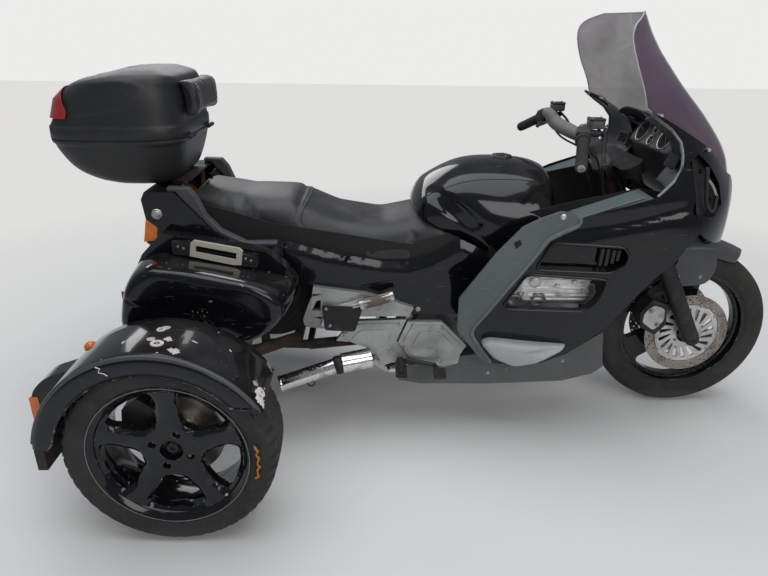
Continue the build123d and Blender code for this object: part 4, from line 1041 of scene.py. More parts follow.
def make_top_box():
    rim = [(1035.4, 0), (1035.6, BELT - 2), (1038, BELT), (1070, BELT), (1074, BELT - 2), (1076, 1)]
    rim += [(z, 0) for z in np.linspace(1080, 1234, 34)]
    box_shell("topbox_lid_shell", lid_rows, rim, "topbox_lid")
    rim = [(1035, 0), (1034.7, BELT - 1), (1033, BELT), (1024, BELT), (1021, BELT - 2), (1019, 1)]
    rim += [(z, 0) for z in np.linspace(1014, 892, 26)]
    box_shell("topbox_base_shell", base_rows, rim, "topbox_base")
    knuckle = [(0, -15), (5.5, -15), (7, -13), (7, 13), (5.5, 15), (0, 15)]
    for side, label in SIDES:
        for owner, y, body in (("base", 133, "chassis"), ("lid", 100, "topbox_lid")):
            spot = at(-1749, side * y, 1035.15)
            name = f"topbox_knuckle_{owner}_{label}"
            turned(name, knuckle, spot, (0, 1, 0), "dark_plastic", body, steps=24)
    tree = puffed("backrest_pad", "topbox_pad", 0.005, 0.004, 0.007, 6, shape_pad)
    for y in (-104, 104):
        for shift in (-7, 7):
            line = []
            for k in range(26):
                x, z = polar(1, -100 + 190 * k / 25)
                way = Vector((x, 0, z))
                spot, normal, _, _ = tree.ray_cast(at(-1790, y + shift, 1150) + way * 0.25, -way)
                if spot is not None and spot.x > at(-1775, 0, 0).x:
                    line.append(spot + normal * 0.0004)
            name = f"backrest_stitching_{abs(y + shift)}_{'r' if y < 0 else 'l'}"
            stitches(name, line, "thread", "topbox_lid", 0.006, 0.003, 0.0008)


# Tyres
def tyre_piece(name, profile, centre, node, tread):
    """A turned tyre with its tread cut in: the profile is radius and place across, in millimetres."""
    around = 288
    line = resampled(profile, 74, closed=False)
    count = len(line)
    crown = max(r for r, _ in profile)
    half = max(abs(t) for _, t in profile)
    verts, faces = [], []
    for k in range(around):
        turn = k * math.tau / around
        for radius, t in line:
            cut = tread(t / half, k) if radius > crown - 16 else 0
            deep = (radius - cut) / 1000
            verts.append(centre + Vector((math.cos(turn) * deep, t / 1000, math.sin(turn) * deep)))
        here, onward = k * count, (k + 1) % around * count
        faces += [(here + i, here + i + 1, onward + i + 1, onward + i) for i in range(count - 1)]
    add_piece(name, verts, faces, "tyre", body_of[node], node=node, sharp=44)


def car_tread(place, k):
    side = abs(place)
    if any(abs(side - groove) < 0.045 for groove in (0.1, 0.44)) or (side > 0.36 and k % 6 < 2):
        return 7.0
    return 3.5 if 0.1 < side < 0.44 and (k + int(side * 14)) % 9 == 0 else 0.0


def road_tread(place, k):
    side = abs(place)
    lean = int(side * 16) + (0 if place > 0 else 6)
    if side > 0.12 and (k + lean) % 12 == 0:
        return 3.5
    return 3.0 if side < 0.03 else 0.0


def both_ways(half):
    """A profile over its whole width from the half on the left."""
    return [(r, -y) for r, y in half] + [(r, y) for r, y in half[::-1] if y]


def make_tyres():
    rear = both_ways([
        (207, 72), (214, 84), (222, 89), (240, 95), (258, 97.2), (270, 95), (279, 88), (285, 78), (289, 60),
        (290.4, 30), (290.5, 0),
    ])
    rear += [(204, 66), (204, -66), rear[0]]
    for side, label in SIDES:
        centre = at(REAR_X, side * REAR_Y, REAR_Z)
        tyre_piece("rear_tyre_tread_" + label, rear, centre, "rear_tyre_" + label, car_tread)
    front = both_ways([
        (231, 40), (238, 46), (246, 50), (268, 54), (284, 55), (296, 52), (305, 44), (311, 32), (315, 16),
        (316.4, 0),
    ])
    front += [(229, 34), (229, -34), front[0]]
    tyre_piece("front_tyre_tread", front, at(0, 0, FRONT_Z), "front_tyre", road_tread)


# Rear fenders
def on_fender(radius, y, degrees):
    x, z = polar(radius, degrees)
    return at(FENDER_X + x, y, FENDER_Z + z)


def make_fenders():
    crown = FENDER_CROWN
    for side, label in SIDES:
        rings, lip = [], []
        for angle in np.linspace(30, 171, 95):
            deep = crown - 13 - 45 * float(step_up(angle, 31, 41)) + 10 * float(step_up(angle, 165, 171))
            profile = [
                (560, crown - 34), (559, crown - 22), (560, crown - 5), (565, crown), (600, crown + 1),
                (690, crown + 1.5), (752, crown), (768, crown - 1.5), (778, crown - 5), (783, crown - 12),
                (784.5, crown - 20), (783, deep + 14), (780, deep + 7), (783, deep + 2), (785, deep),
                (782, deep - 2), (776, deep + 3), (776, deep + 14), (778, crown - 20), (770, crown - 10),
                (752, crown - 6), (690, crown - 4), (600, crown - 4), (568, crown - 5), (565, crown - 10),
                (564, crown - 34),
            ]
            rings.append([on_fender(r, side * y, angle) for y, r in profile])
            if angle > 41:
                lip.append(on_fender(deep + 1, side * 782.5, angle))
        add_piece("fender_shell_" + label, *plugged(rings), "fender", node="rear_fenders", sharp=60)
        tube("fender_lip_" + label, lip, 0.0024, "fender", smooth=False)
        # The bead along the crown is a lighter grey than the paint: a painted highlight along the crown's
        # edge.
        bead = [on_fender(crown - 7, side * 776, a) for a in np.linspace(31, 168, 110)]
        tube("fender_bead_" + label, bead, 0.0068, "bead", smooth=False)
        patches = ((78, 742, 15), (83, 690, 12), (33, 748, 20), (34, 712, 14), (36, 730, 9))
        for k, (angle, y, size) in enumerate(patches):
            x, z = polar(1, angle)
            spot = on_fender(crown + 1, side * y, angle)
            profile = [(0, 2.4), (size * 0.4, 2.2), (size * 0.8, 1.4), (size, -0.6)]
            patch = turned(f"fender_patch_{k}_{label}", profile, spot, (x, 0, z), "filler", steps=28)
            wobble = np.random.default_rng(31 + k)
            lumps = [wobble.uniform(0.6, 1.25) for _ in range(28)]
            for i, v in enumerate(patch.data.vertices):
                v.co = spot + (v.co - spot) * lumps[i % 28]
        slopes = [math.degrees(math.acos((x - FENDER_X) / crown)) for x in (-1725, -1738)] + [34]
        for k, (y, slope, size) in enumerate(zip((716, 640, 716), slopes, (17, 12, 15))):
            x, z = polar(1, slope)
            spot = on_fender(crown + 1.2, side * y, slope)
            washer = [(0.45, -1), (0.45, 1.5), (0.6, 2.4), (0.9, 2), (1, 0.8), (1, -1)]
            washer = [(size * wide, up) for wide, up in washer]
            turned(f"fender_washer_{k}_{label}", washer, spot, (x, 0, z), "filler", steps=32)
            head = [(0.1, 3.6), (3, 3.4), (4.6, 2), (4.8, -1)]
            turned(f"fender_bolt_{k}_{label}", head, spot, (x, 0, z), "bolt", steps=12)


# Side fairings and trims
hull = Sections([
    (-900, 290, 560, 900, 262, 312, 250, 20),
    (-700, 290, 560, 960, 275, 328, 262, 20),
    (-560, 295, 600, 1060, 280, 340, 270, 20),
    (-430, 310, 680, 1190, 275, 352, 268, 20),
    (-300, 350, 720, 1150, 258, 358, 268, 20),
    (-170, 420, 760, 1070, 218, 342, 240, 20),
    (-60, 560, 800, 985, 140, 256, 172, 20),
    (20, 690, 805, 927, 62, 128, 88, 14),
    (70, 742, 792, 856, 24, 48, 28, 5),
])
SIDE = [
    (-556, 826), (-470, 862), (-331, 906), (-285, 950), (-262, 1000), (-262, 1054), (-200, 930),
    (-150, 860), (-140, 815), (-177, 800), (-215, 754), (-254, 685), (-285, 662), (-331, 600),
    (-405, 470), (-455, 412), (-518, 350), (-600, 306), (-690, 297), (-775, 300), (-808, 362),
    (-846, 425), (-842, 454), (-804, 515), (-750, 600), (-681, 700), (-634, 769), (-562, 812),
]
RECESS = [(-240, 1000), (-222, 945), (-212, 900), (-218, 862), (-200, 842), (-146, 842)]
SIDE_OPEN = SIDE[:6] + RECESS + SIDE[8:]
UPPER_VENT = rounded([(-623, 756), (-408, 752), (-388, 723), (-396, 694), (-431, 665), (-669, 667)], 22)
LOWER_VENT = [(-692, 652), (-438, 644), (-454, 569), (-485, 533), (-508, 525), (-740, 527), (-757, 540)]
BAND = [
    (-552, 832), (-556, 806), (-630, 763), (-677, 694), (-746, 596), (-800, 512), (-838, 454),
    (-840, 424), (-804, 366), (-764, 308),
    (-777, 300), (-808, 323), (-896, 446), (-898, 562), (-846, 638), (-792, 715), (-715, 800),
    (-662, 829), (-606, 853), (-566, 851),
]


def side_reach(x, z):
    wide = hull.reach(x, z)
    crease = np.interp(x, (-770, -610, -433, -300, -200), (806, 812, 850, 884, 905))
    fade = float(step_up(x, -690, -600) * (1 - step_up(x, -260, -190)))
    return wide - 6.5 * fade * hump(z, crease - 26, 20)


def trim_reach(x, z):
    return hull.reach(x, z) + 5


def make_fairings():
    vents = [UPPER_VENT, rounded(LOWER_VENT, 24)]
    for label, outline in (("right", SIDE_OPEN), ("left", SIDE)):
        name = "side_fairing_skin_" + label
        curved_plate(name, outline, vents, side_reach, 4, "gloss", node="side_fairings", flip=label == "left")
    curved_plate(
        "fairing_trim_skin", BAND, [], trim_reach, 8, "trim", node="fairing_trims", bevel=0.003, both=True
    )
    edge = [
        (-549, 838), (-556, 812), (-634, 768), (-681, 698), (-750, 600), (-804, 516), (-842, 456),
        (-844, 424), (-808, 368), (-770, 310),
    ]
    line = [at(x, 1 - trim_reach(x, z), z) for x, z in resampled(smooth_line(edge, 6), 60, closed=False)]
    tube("fairing_trim_bead", line, 0.0065, "trim_light", smooth=False, both=True)
    # The lower vent's lining is near black: painted shade inside the opening.
    for name, outline, depth, finish in (
        ("upper", UPPER_VENT, 34, "gloss"), ("lower", rounded(LOWER_VENT, 22), 22, "void"),
    ):
        loop = looped(outline, 110)
        rim = [at(x, -side_reach(x, z) - 0.5, z) for x, z in loop]
        tube(name + "_vent_rim", rim, 0.0048, "gloss", closed=True, both=True)
        middle = loop.mean(0)
        rings = []
        for away, size in ((1, 1.0), (depth * 0.5, 0.97), (depth, 0.93)):
            inward = middle + (loop - middle) * size
            rings.append([at(q[0], away + 2 - side_reach(*p), q[1]) for p, q in zip(loop, inward)])
        skin = lofted(rings, caps=(False, finish == "gloss"))
        add_piece(name + "_vent_lining", *skin, finish, slot="black_plastic", both=True)
    for k, x in enumerate((-470, -452, -434, -418)):
        low, high = 684 + 8 * max(0, k - 1), 742 - 2 * k
        rib = [(x - 4, low), (x + 6, low), (x + 9, high), (x - 2, high)]
        plate(f"upper_vent_rib_{k}", rib, (-322, -338), "dark_plastic", both=True)
    # A near-black plate behind the lower vent: painted shade where the inside is only in shade.
    back = rounded([(-790, 690), (-420, 690), (-420, 500), (-790, 500)], 10)
    plate("lower_vent_back", back, (-186, -190), "void", both=True)


# Windscreen: height, place of the middle, place of the edge and half width
screen_rows = Sections([
    (875, 57, -100, 146), (905, 42, -140, 165), (1000, -4, -265, 230), (1100, -84, -352, 257),
    (1200, -182, -391, 264), (1250, -228, -415, 268), (1300, -272, -435, 264), (1345, -305, -446, 256),
    (1375, -325, -440, 250), (1395, -338, -418, 228), (1412, -346, -388, 165),
])


def on_screen(u, z, thick=0.0):
    middle, edge, half = screen_rows.row(z)
    middle, half = middle - thick, half - thick
    lead = middle - edge
    radius = (half**2 + lead**2) / (2 * lead)
    turn = u * math.atan2(half, radius - lead)
    return at(middle - radius + radius * math.cos(turn), radius * math.sin(turn), z)


def make_screen():
    cut_x = (-700, -440, -427, -335, -173, -60, 0, 60, 200)
    cut_z = (1177, 1177, 1166, 1122, 1027, 936, 909, 864, 844)
    wide, count = 65, 60
    across = np.linspace(-1, 1, wide)
    grid = []
    for u in across:
        heights = np.arange(876, 1412, 1.0)
        foot = next(z for z in heights if z >= np.interp((on_screen(u, z).x - RX) * 1000, cut_x, cut_z))
        grid.append([foot + (1412 - foot) * v for v in np.linspace(0, 1, count)])
    front = [[on_screen(u, z) for z in row] for u, row in zip(across, grid)]
    back = [[on_screen(u, z, 3.5) for z in row] for u, row in zip(across, grid)]
    columns = front + back[::-1]
    total = len(columns)
    verts = [v for column in columns for v in column]
    faces = []
    for r in range(total):
        here, onward = r * count, (r + 1) % total * count
        faces += [(here + k, here + k + 1, onward + k + 1, onward + k) for k in range(count - 1)]
    for r in range(wide - 1):
        for k in (0, count - 1):
            a, b = r * count + k, (r + 1) * count + k
            faces.append((a, b, (total - 2 - r) * count + k, (total - 1 - r) * count + k))
    add_piece("windscreen_sheet", verts, faces, "smoked", node="windscreen", sharp=60)
    foot = [on_screen(u, column[0] + 1, 1.5) for u, column in zip(across, grid)]
    tube("windscreen_foot_seal", foot, 0.0036, "dark_plastic", smooth=False)
    for side, label in SIDES:
        edge = [on_screen(side, z, 1.5) for z in np.linspace(grid[0][0], 1411, 60)]
        tube("windscreen_edge_" + label, edge, 0.0021, "screen_edge", smooth=False)
    top = [on_screen(u, 1411, 1.5) for u in np.linspace(-1, 1, 40)]
    tube("windscreen_top_edge", top, 0.0021, "screen_edge", smooth=False)


# Front mudguard
def make_mudguard():
    reach = 344.5
    rings = []
    for t in np.linspace(0, 1, 48):
        narrow = 1 - 0.75 * max(0, (t - 0.86) / 0.14) ** 2
        drop = 30 * max(0, (t - 0.8) / 0.2) ** 2
        outer = [(66, -44), (66.5, -26), (64, -12), (57, -3), (44, 4), (24, 9.5), (0, 11.5)]
        outer += [(-y, r) for y, r in outer[-2::-1]]
        inner = [(y * 0.945, r - 4 if abs(y) < 60 else r) for y, r in reversed(outer)]
        ring = []
        for y, r in outer + inner:
            x, z = polar(reach + (max(r, drop - 44) if r < 0 else r), 113 - 53 * t)
            ring.append(at(x, y * narrow, FRONT_Z + z))
        rings.append(ring)
    add_piece(
        "front_mudguard_shell", *plugged(rings), "mudguard", "steering", node="front_mudguard", sharp=60
    )
    skirt = rounded([(-94, 565), (-66, 646), (56, 646), (64, 560), (40, 512), (-66, 500)], 24)
    plate("front_mudguard_cheek", skirt, (-62, -66), "mudguard", "steering", node="front_mudguard", both=True)
    for side, label in SIDES:
        places = [(-70, side * 66.5, 540), (10, side * 66.5, 540)]
        bolts("front_mudguard_bolt_" + label, places, (0, side, 0), 6, 4, "bolt", "steering")


# Panniers: the outline at the tray and on the lid's face
PANNIER_NEAR = rounded([
    (-1840, 708), (-1893, 688), (-1925, 640), (-1945, 545), (-1938, 490), (-1900, 462), (-1533, 457),
    (-1475, 492), (-1420, 560), (-1415, 606), (-1440, 630), (-1500, 642), (-1733, 688),
], 34, 4)
PANNIER_FAR = rounded([
    (-1820, 722), (-1868, 690), (-1900, 638), (-1920, 548), (-1914, 506), (-1884, 484), (-1545, 480),
    (-1494, 508), (-1443, 565), (-1440, 604), (-1464, 640), (-1516, 672), (-1728, 714),
], 40, 4)


def pannier_ring(y, blend, inset):
    flat = looped(np.array(PANNIER_NEAR) * (1 - blend) + np.array(PANNIER_FAR) * blend, 180)
    middle = np.array([-1680, 590])
    away = flat - middle
    flat = middle + away * (1 - inset / np.linalg.norm(away, axis=1, keepdims=True).clip(30))
    return [at(x, -y, z) for x, z in flat]


def make_panniers():
    rows = [
        (300, 0, 0), (303, 0, 0), (306, 0.02, -1), (330, 0.16, -3), (365, 0.36, -4), (400, 0.56, -4),
        (432, 0.74, -3), (454, 0.86, 0), (466, 0.93, 4), (474, 0.98, 10), (478.5, 1, 20), (480, 1, 34),
    ]
    rows += [(480, 1, inset) for inset in (50, 68, 86, 104, 122, 140)]
    wall = [pannier_ring(y - 4 if y > 310 else y, blend, inset + 4) for y, blend, inset in rows]
    verts, faces = lofted(wall[::-1] + [pannier_ring(*row) for row in rows])
    points = np.array([tuple(v) for v in verts])
    flat_x, up = (points[:, 0] - RX) * 1000, points[:, 2] * 1000
    groove = np.interp(flat_x, (-1945, -1905, -1795, -1624, -1462, -1420), (640, 628, 588, 556, 556, 560))
    points[:, 1] += hump(up, groove, 3.5) * 0.003 * step_up(points[:, 1] * -1000, 440, 478)
    lid = "pannier_lid_right"
    add_piece("pannier_lid_shell", points, faces, "box_gloss", lid, node=lid, sharp=60, both=True)


# Rear rims
def rim_holes():
    gaps = []
    for k in range(5):
        middle = 126 + 72 * k
        edge = [(90, 13), (112, 20), (140, 24), (168, 25.5), (189, 24)]
        gap = [polar(r, middle - a) for r, a in edge] + [polar(191, middle - 10), polar(191, middle + 10)]
        gap += [polar(r, middle + a) for r, a in reversed(edge)]
        gaps.append(rounded(gap, 16))
    wells = [circle(11.5, 12, *polar(54, -(20 + 90 * k))) for k in range(4)]
    return [[(x + REAR_X, z + REAR_Z) for x, z in loop] for loop in [*gaps, circle(32, 24), *wells]]


def make_rear_rims():
    loops = rim_holes()
    rims = [p for loop in loops[:5] for p in looped(loop, 60)]

    def reach(x, z):
        r = math.hypot(x - REAR_X, z - REAR_Z)
        near = min(math.dist((x, z), p) for p in rims)
        dip = 15 * (1 - math.sqrt(1 - (1 - near / 21) ** 2)) if near < 21 else 0
        return REAR_Y + 58 + 17 * max(0, (r - 70) / 125) ** 1.5 + 3 * hump(r, 84, 16) - dip

    barrel = [
        (221, 90), (219, 91), (215, 90), (211, 86), (204, 81), (198, 74), (195, 60), (190, 40), (186, 24),
        (186, -26), (196, -44), (199, -72), (212, -80), (216, -89), (221, -90), (221, -84), (205, -78),
        (203, -42), (190, -26), (190, 24), (203, 42), (205, 78), (221, 84), (221, 90),
    ]
    nut = [(20, -6), (20, 8), (17, 11), (9, 11), (8, 6), (0, 5)]
    disc = circle(199, 72, REAR_X, REAR_Z)
    for side, label in SIDES:
        body, node = "rear_wheel_" + label, "rear_rim_" + label
        curved_plate(
            "rear_rim_face_" + label, disc, loops, reach, 26, "wheel", body, node=node,
            step=9.0, bevel=0.002, flip=side > 0,
        )
        out = (0, side, 0)
        centre = at(REAR_X, side * REAR_Y, REAR_Z)
        turned("rear_rim_barrel_" + label, barrel, centre, out, "wheel", body, node=node, steps=120, sharp=50)
        # A thin light ring round the lip: worn paint, and a painted highlight where the lip catches the
        # light.
        lip = [at(x, side * (REAR_Y + 90.5), z) for x, z in circle(217.5, 120, REAR_X, REAR_Z)]
        tube("rear_rim_wear_" + label, lip, 0.0009, "worn_edge", body, closed=True)
        spots = [polar(54, -(20 + 90 * k)) for k in range(4)]
        places = [(REAR_X + x, side * 708, REAR_Z + z) for x, z in spots]
        bolts("rear_wheel_bolts_" + label, places, out, 7.5, 12, "bolt", body)
        turned("rear_hub_nut_" + label, nut, at(REAR_X, side * 712, REAR_Z), out, "black_cast", body, steps=6)


# Nose
NOSE = [
    (-384, 1150), (-320, 1122), (-173, 1043), (-60, 952), (0, 925), (8, 919), (8, 735), (-40, 733),
    (-110, 752), (-165, 780), (-190, 802), (-150, 817), (-165, 861), (-215, 931), (-264, 1040),
    (-268, 1060), (-301, 1092), (-372, 1138),
]
NOSE_RECESS = [(-148, 836), (-134, 842), (-102, 868), (-120, 934), (-160, 984), (-210, 1026), (-240, 1004)]
NOSE_OPEN = NOSE[:11] + NOSE_RECESS + NOSE[14:]


def make_nose():
    for label, outline in (("right", NOSE_OPEN), ("left", NOSE)):
        curved_plate(
            "nose_side_" + label, outline, [], hull.reach, 4, "gloss", node="nose_cowl", step=9,
            flip=label == "left",
        )
    rings = []
    for x in [*np.linspace(4, 62, 18), 65, 67, 69, 70]:
        close = max(0, (x - 60) / 10)
        rings.append(pulled_in(hull.ring(x, 120, 3), math.sqrt(1 - 0.55 * close**2)))
    for name, low, high, finish, node in (
        ("nose_top", 868, 2000, "gloss", "nose_cowl"),
        ("nose_under", 0, 776, "gloss", "nose_cowl"),
        ("headlamp_glass", 776.4, 867.6, "glass", "headlamp"),
    ):
        bm = bm_from(*lofted(rings, caps=(False, True)))
        cut_away(bm, (0, 0, low / 1000), (0, 0, 1))
        cut_away(bm, (0, 0, high / 1000), (0, 0, -1))
        cut_away(bm, at(0, 0, 922), (0.6, 0, 0.8), behind=False)
        add_piece(name, *taken_from(bm), finish, slot=slot_of[node], node=node, sharp=50, wall=0.0035)
    bowl = [[at(-24, 0, 822) + (p - at(30, 0, 822)) * 0.72 for p in ring] for ring in rings]
    add_piece("headlamp_bowl", *lofted(bowl, caps=(False, True)), "chrome", slot="clear_glass")


# Side panels under the seat
def make_side_panels():
    top = [(-1462, 716), (-1316, 676), (-1150, 646), (-1054, 643), (-988, 664), (-888, 724), (-762, 664)]
    outline = top + [
        (-738, 634), (-745, 618), (-800, 560), (-858, 480), (-885, 456), (-1130, 456), (-1140, 470),
        (-1251, 505), (-1372, 567), (-1462, 606),
    ]

    def reach(x, z):
        under = float(np.interp(x, *zip(*top))) - z
        tuck = 12 * (1 - float(step_up(under, 0, 26)))
        return 211 + 4 * hump(under, 62, 40) - tuck + 3 * float(step_up(x, -1100, -1400))

    hole = rounded([(-1266, 662), (-1256, 664), (-1258, 646), (-1268, 644)], 6)
    curved_plate(
        "side_panel_skin", rounded(outline, 10), [hole], reach, 4, "gloss",
        slot="black_plastic", node="side_panels", both=True,
    )
    bolts("side_panel_screw", [(-1020, -214, 476)], (0, -1, 0), 7, 3, both=True, hexed=False)


# Handlebar
RAKE = math.radians(27.5)
LEVER = ((0, 0.2, 0.3, 0.85, 0.93, 0.97, 1), (0.010, 0.011, 0.0075, 0.006, 0.007, 0.0088, 0.006))


def pillow(name, centre, sizes, ways, finish):
    """A block with rounded corners: half sizes along three ways, in millimetres."""
    a, b, c = ways
    corners = rounded([(-1, -1), (1, -1), (1, 1), (-1, 1)], 0.5, 4)
    rings = []
    long, wide, tall = (size / 1000 for size in sizes)
    for t, fat in ((-1, 0.8), (-0.86, 0.95), (-0.6, 1), (0.6, 1), (0.86, 0.95), (1, 0.8)):
        middle = at(*centre) + a * (long * t)
        rings.append([middle + b * (wide * p * fat) + c * (tall * q * fat) for p, q in corners])
    add_piece(name, *lofted(rings), finish, "steering", sharp=55)


def make_bars():
    axis = np.array((-math.sin(RAKE), 0, math.cos(RAKE)))
    clamp = np.array((100 - 915 * math.tan(RAKE), 0, 915.0)) + axis * 17
    middle = clamp + axis * 60
    stem = [(0, -4), (32, -4), (32, 22), (28, 30), (25, 60), (26, 70), (18, 82), (0, 84)]
    turned("bar_stem", stem, at(*clamp), axis, "bar", "steering", node="handlebar", steps=40)
    for side, label in SIDES:
        inner, outer = np.array((-546.0, side * 250, 1055)), np.array((-585.0, side * 380, 1002))
        length = float(np.linalg.norm(outer - inner))
        along = (outer - inner) / length
        elbow = np.array((middle[0] - 62, side * 96, middle[2] + 44))
        path = [
            middle, middle * 0.45 + elbow * 0.55 + (0, 0, 8), elbow, (elbow + inner) / 2 + (0, 0, 5),
            inner - along * 56, inner - along * 30,
        ]
        line = smooth_line([at(*p) for p in path])
        count = len(line)
        fat = [0.026 - 0.0015 * math.sin(k / count * 9) - 0.004 * k / count for k in range(count)]
        tube("bar_cover_" + label, line, fat, "bar", "steering", node="handlebar", smooth=False)
        way = Vector(along)
        ahead = way.cross(Vector((0, 0, 1))).normalized() * -side
        ways = (way, ahead, way.cross(ahead).normalized())
        tank_at = inner - along * 44 + (34, 0, 26)
        upright = (Vector((0, 0, 1)), Vector((1, 0, 0)), Vector((0, 1, 0)))
        button = "red_switch" if side < 0 else "dark_plastic"
        for name, centre, sizes, turn, finish in (
            ("switch_box_", inner - along * 24, (20, 23, 24), ways, "dark_plastic"),
            ("switch_ridge_", inner - along * 24 + (4, 0, 22), (14, 11, 5), ways, "dark_plastic"),
            ("switch_button_", inner - along * 20 + (-16, 0, 17), (6, 4, 5), ways, button),
            ("fluid_tank_", tank_at, (13, 24, 22), upright, "tank_plastic"),
            ("fluid_tank_lid_", tank_at + (0, 0, 14), (4, 25, 23), upright, "dark_plastic"),
        ):
            pillow(name + label, centre, sizes, turn, finish)
        places = [tank_at + (dx, dy, 18) for dx in (-18, 18) for dy in (-17, 17)]
        bolts("fluid_tank_screws_" + label, places, (0, 0, 1), 3, 2, "bolt", "steering", hexed=False)
        pivot = inner - along * 30 + (40, 0, 4)
        tip = outer + (66, 0, 4)
        lever = [
            inner - along * 34 + (16, 0, 6), pivot, pivot + (20, side * 14, -2),
            (pivot + tip) / 2 + (10, 0, -2), tip - (2, 0, 0), tip + along * 4,
        ]
        line = smooth_line([at(*p) for p in lever], 7)
        fat = list(np.interp(np.linspace(0, 1, len(line)), *LEVER))
        tube("bar_lever_" + label, line, fat, "black_cast", "steering", smooth=False)
        profile = [(12, -2), (22, -1), (23, 3), (22, 7), (17, 8)]
        for rib in np.arange(11.0, length - 2, 5.0):
            profile += [(15.6, rib), (17.2, rib + 0.9), (17.2, rib + 3.1), (15.6, rib + 4.0)]
        tail = ((17, 2), (16.5, 8), (12, 8.5), (12, -4), (0, -4))
        end = ((11.6, -6), (11.6, 9), (9, 10), (8.2, 4), (0, 3))
        tail, end = ([(radius, length + more) for radius, more in rows] for rows in (tail, end))
        place = (at(*inner), along)
        grip = {"node": "grips", "steps": 32, "sharp": 50}
        turned("bar_grip_" + label, profile + tail, *place, "grip", "steering", **grip)
        turned("bar_end_" + label, end, *place, "bolt", "steering", steps=24)
        hose = [
            tank_at + (10, 0, -14), tank_at + (46, -side * 26, -60), (-420, side * 110, 930),
            (-395, side * 72, 860), (-372, side * 60, 800),
        ]
        cable = [
            inner - along * 30 + (10, 0, -14), (inner + elbow) / 2 + (24, 0, -44),
            elbow + (40, -side * 20, -60), (-400, side * 58, 900), (-372, side * 52, 820),
        ]
        for name, run, fat in (("bar_hose_", hose, 0.0042), ("bar_cable_", cable, 0.0035)):
            tube(name + label, [at(*p) for p in run], fat, "dark_plastic", "steering")


# Front discs
def make_front_discs():
    drilled = [
        circle(3.1, 8, *polar(r, k * 15 + shift))
        for k in range(24) for r, shift in ((127, 0), (137, 5), (147, 10))
    ]
    slots = []
    for a in range(0, 360, 20):
        slots.append(rounded([polar(58, a), polar(60, a + 8), polar(100, a + 20), polar(103, a + 11)], 5, 3))
    ring = (circle(154, 96), [circle(119, 72), *drilled], (72, 77), "front_disc", 0.0005)
    carrier = (circle(116, 72), [circle(36, 36), *slots], (71, 78), "carrier", 0.001)
    for side, label in SIDES:
        for name, (outline, holes, y, finish, bevel) in (("ring_", ring), ("carrier_", carrier)):
            loops = [[(x, z + FRONT_Z) for x, z in loop] for loop in (outline, *holes)]
            plate(
                f"front_disc_{name}{label}", loops[0], [side * place for place in y], finish, "front_wheel",
                node="front_discs", bevel=bevel, holes=loops[1:],
            )
        for name, away, count, radius, tall in (("bobbins_", 117.5, 10, 5, 2), ("bolts_", 46, 5, 5.5, 5)):
            places = [(x, side * 78, z) for x, z in circle(away, count, 0, FRONT_Z)]
            bolts(
                f"front_disc_{name}{label}", places, (0, side, 0), radius, tall, "bolt", "front_wheel",
                hexed=name == "bolts_",
            )


# Covers low on the side
REAR_COVER = [
    (-1288, 378), (-1262, 404), (-1236, 432), (-1072, 438), (-1100, 366), (-1062, 304), (-1142, 275),
    (-1154, 305), (-1196, 346), (-1246, 367),
]
FRONT_COVER = [
    (-1046, 430), (-944, 430), (-930, 419), (-862, 349), (-880, 318), (-884, 288), (-925, 275), (-1040, 309),
    (-1076, 362),
]


def make_low_covers():
    for name, loop, y in (("rear_cover_panel", REAR_COVER, 236), ("front_cover_panel", FRONT_COVER, 240)):
        loop = np.array(loop)
        middle = loop.mean(0)
        for k, (size, lift) in enumerate(((0.95, 3.5), (0.66, 6.5))):
            inset = rounded(middle + (loop - middle) * size, 12)
            plate(f"{name}_{k}", inset, (-y + 1, -y - lift), "cover", bevel=0.0028, both=True)
    places = [
        (-1268, -238, 392), (-1082, -238, 430), (-1150, -238, 284), (-936, -242, 420), (-1036, -242, 426),
        (-930, -242, 286), (-1062, -242, 340),
    ]
    out = (0, -1, 0)
    bolts("cover_bolts", places, out, 6, 5, both=True)
    triangle = rounded([(-1344, 506), (-1207, 496), (-1234, 408), (-1336, 412)], 10)
    plate("peg_triangle", triangle, (-247, -251), "black_cast", slot="chassis_steel", bevel=0.001)
    bolts("peg_triangle_bolts", [(-1330, -252, 492), (-1318, -252, 430)], out, 5, 4)
    line = smooth_line([at(-1215, -262, 512), at(-1160, -262, 529), at(-1108, -262, 546)])
    swell = (0, 0.08, 0.5, 0.95, 1), (0.012, 0.0175, 0.0185, 0.0175, 0.01)
    fat = list(np.interp(np.linspace(0, 1, len(line)), *swell))
    tube("handbrake_grip", line, fat, "worn_grip", smooth=False)
    mouth = [(26, -0.5), (29, 1), (29.2, 6), (28, 10), (24.2, 10), (24.2, 0.2)]
    joint = [(28.4, 196), (32, 200), (33, 212), (31, 222), (28.4, 226)]
    # Inside each exhaust mouth, a near-black lining closed at its end: soot, and painted shade deeper in the
    # pipe.
    soot_and_shade = [(23.6, 2), (23.6, 90), (0, 90)]
    for side, label in SIDES:
        end = at(-1490, side * 300, 232)
        way = (at(-1272, side * 262, 292) - end).normalized()
        turned("exhaust_mouth_" + label, mouth, end, way, "chrome", steps=48)
        turned("exhaust_soot_" + label, soot_and_shade, end, way, "void", slot="chrome", steps=40)
        turned("exhaust_joint_" + label, joint, end, way, "black_cast", slot="chrome", steps=40)
        below = end + way * 0.11 + Vector((0, 0, -0.036))
        turns = np.linspace(0, math.tau, 20)[:-1]
        hook = [below + Vector((0.012 * math.cos(t), 0, 0.012 * math.sin(t))) for t in turns]
        tube("exhaust_hook_" + label, hook, 0.0024, "frame", closed=True)


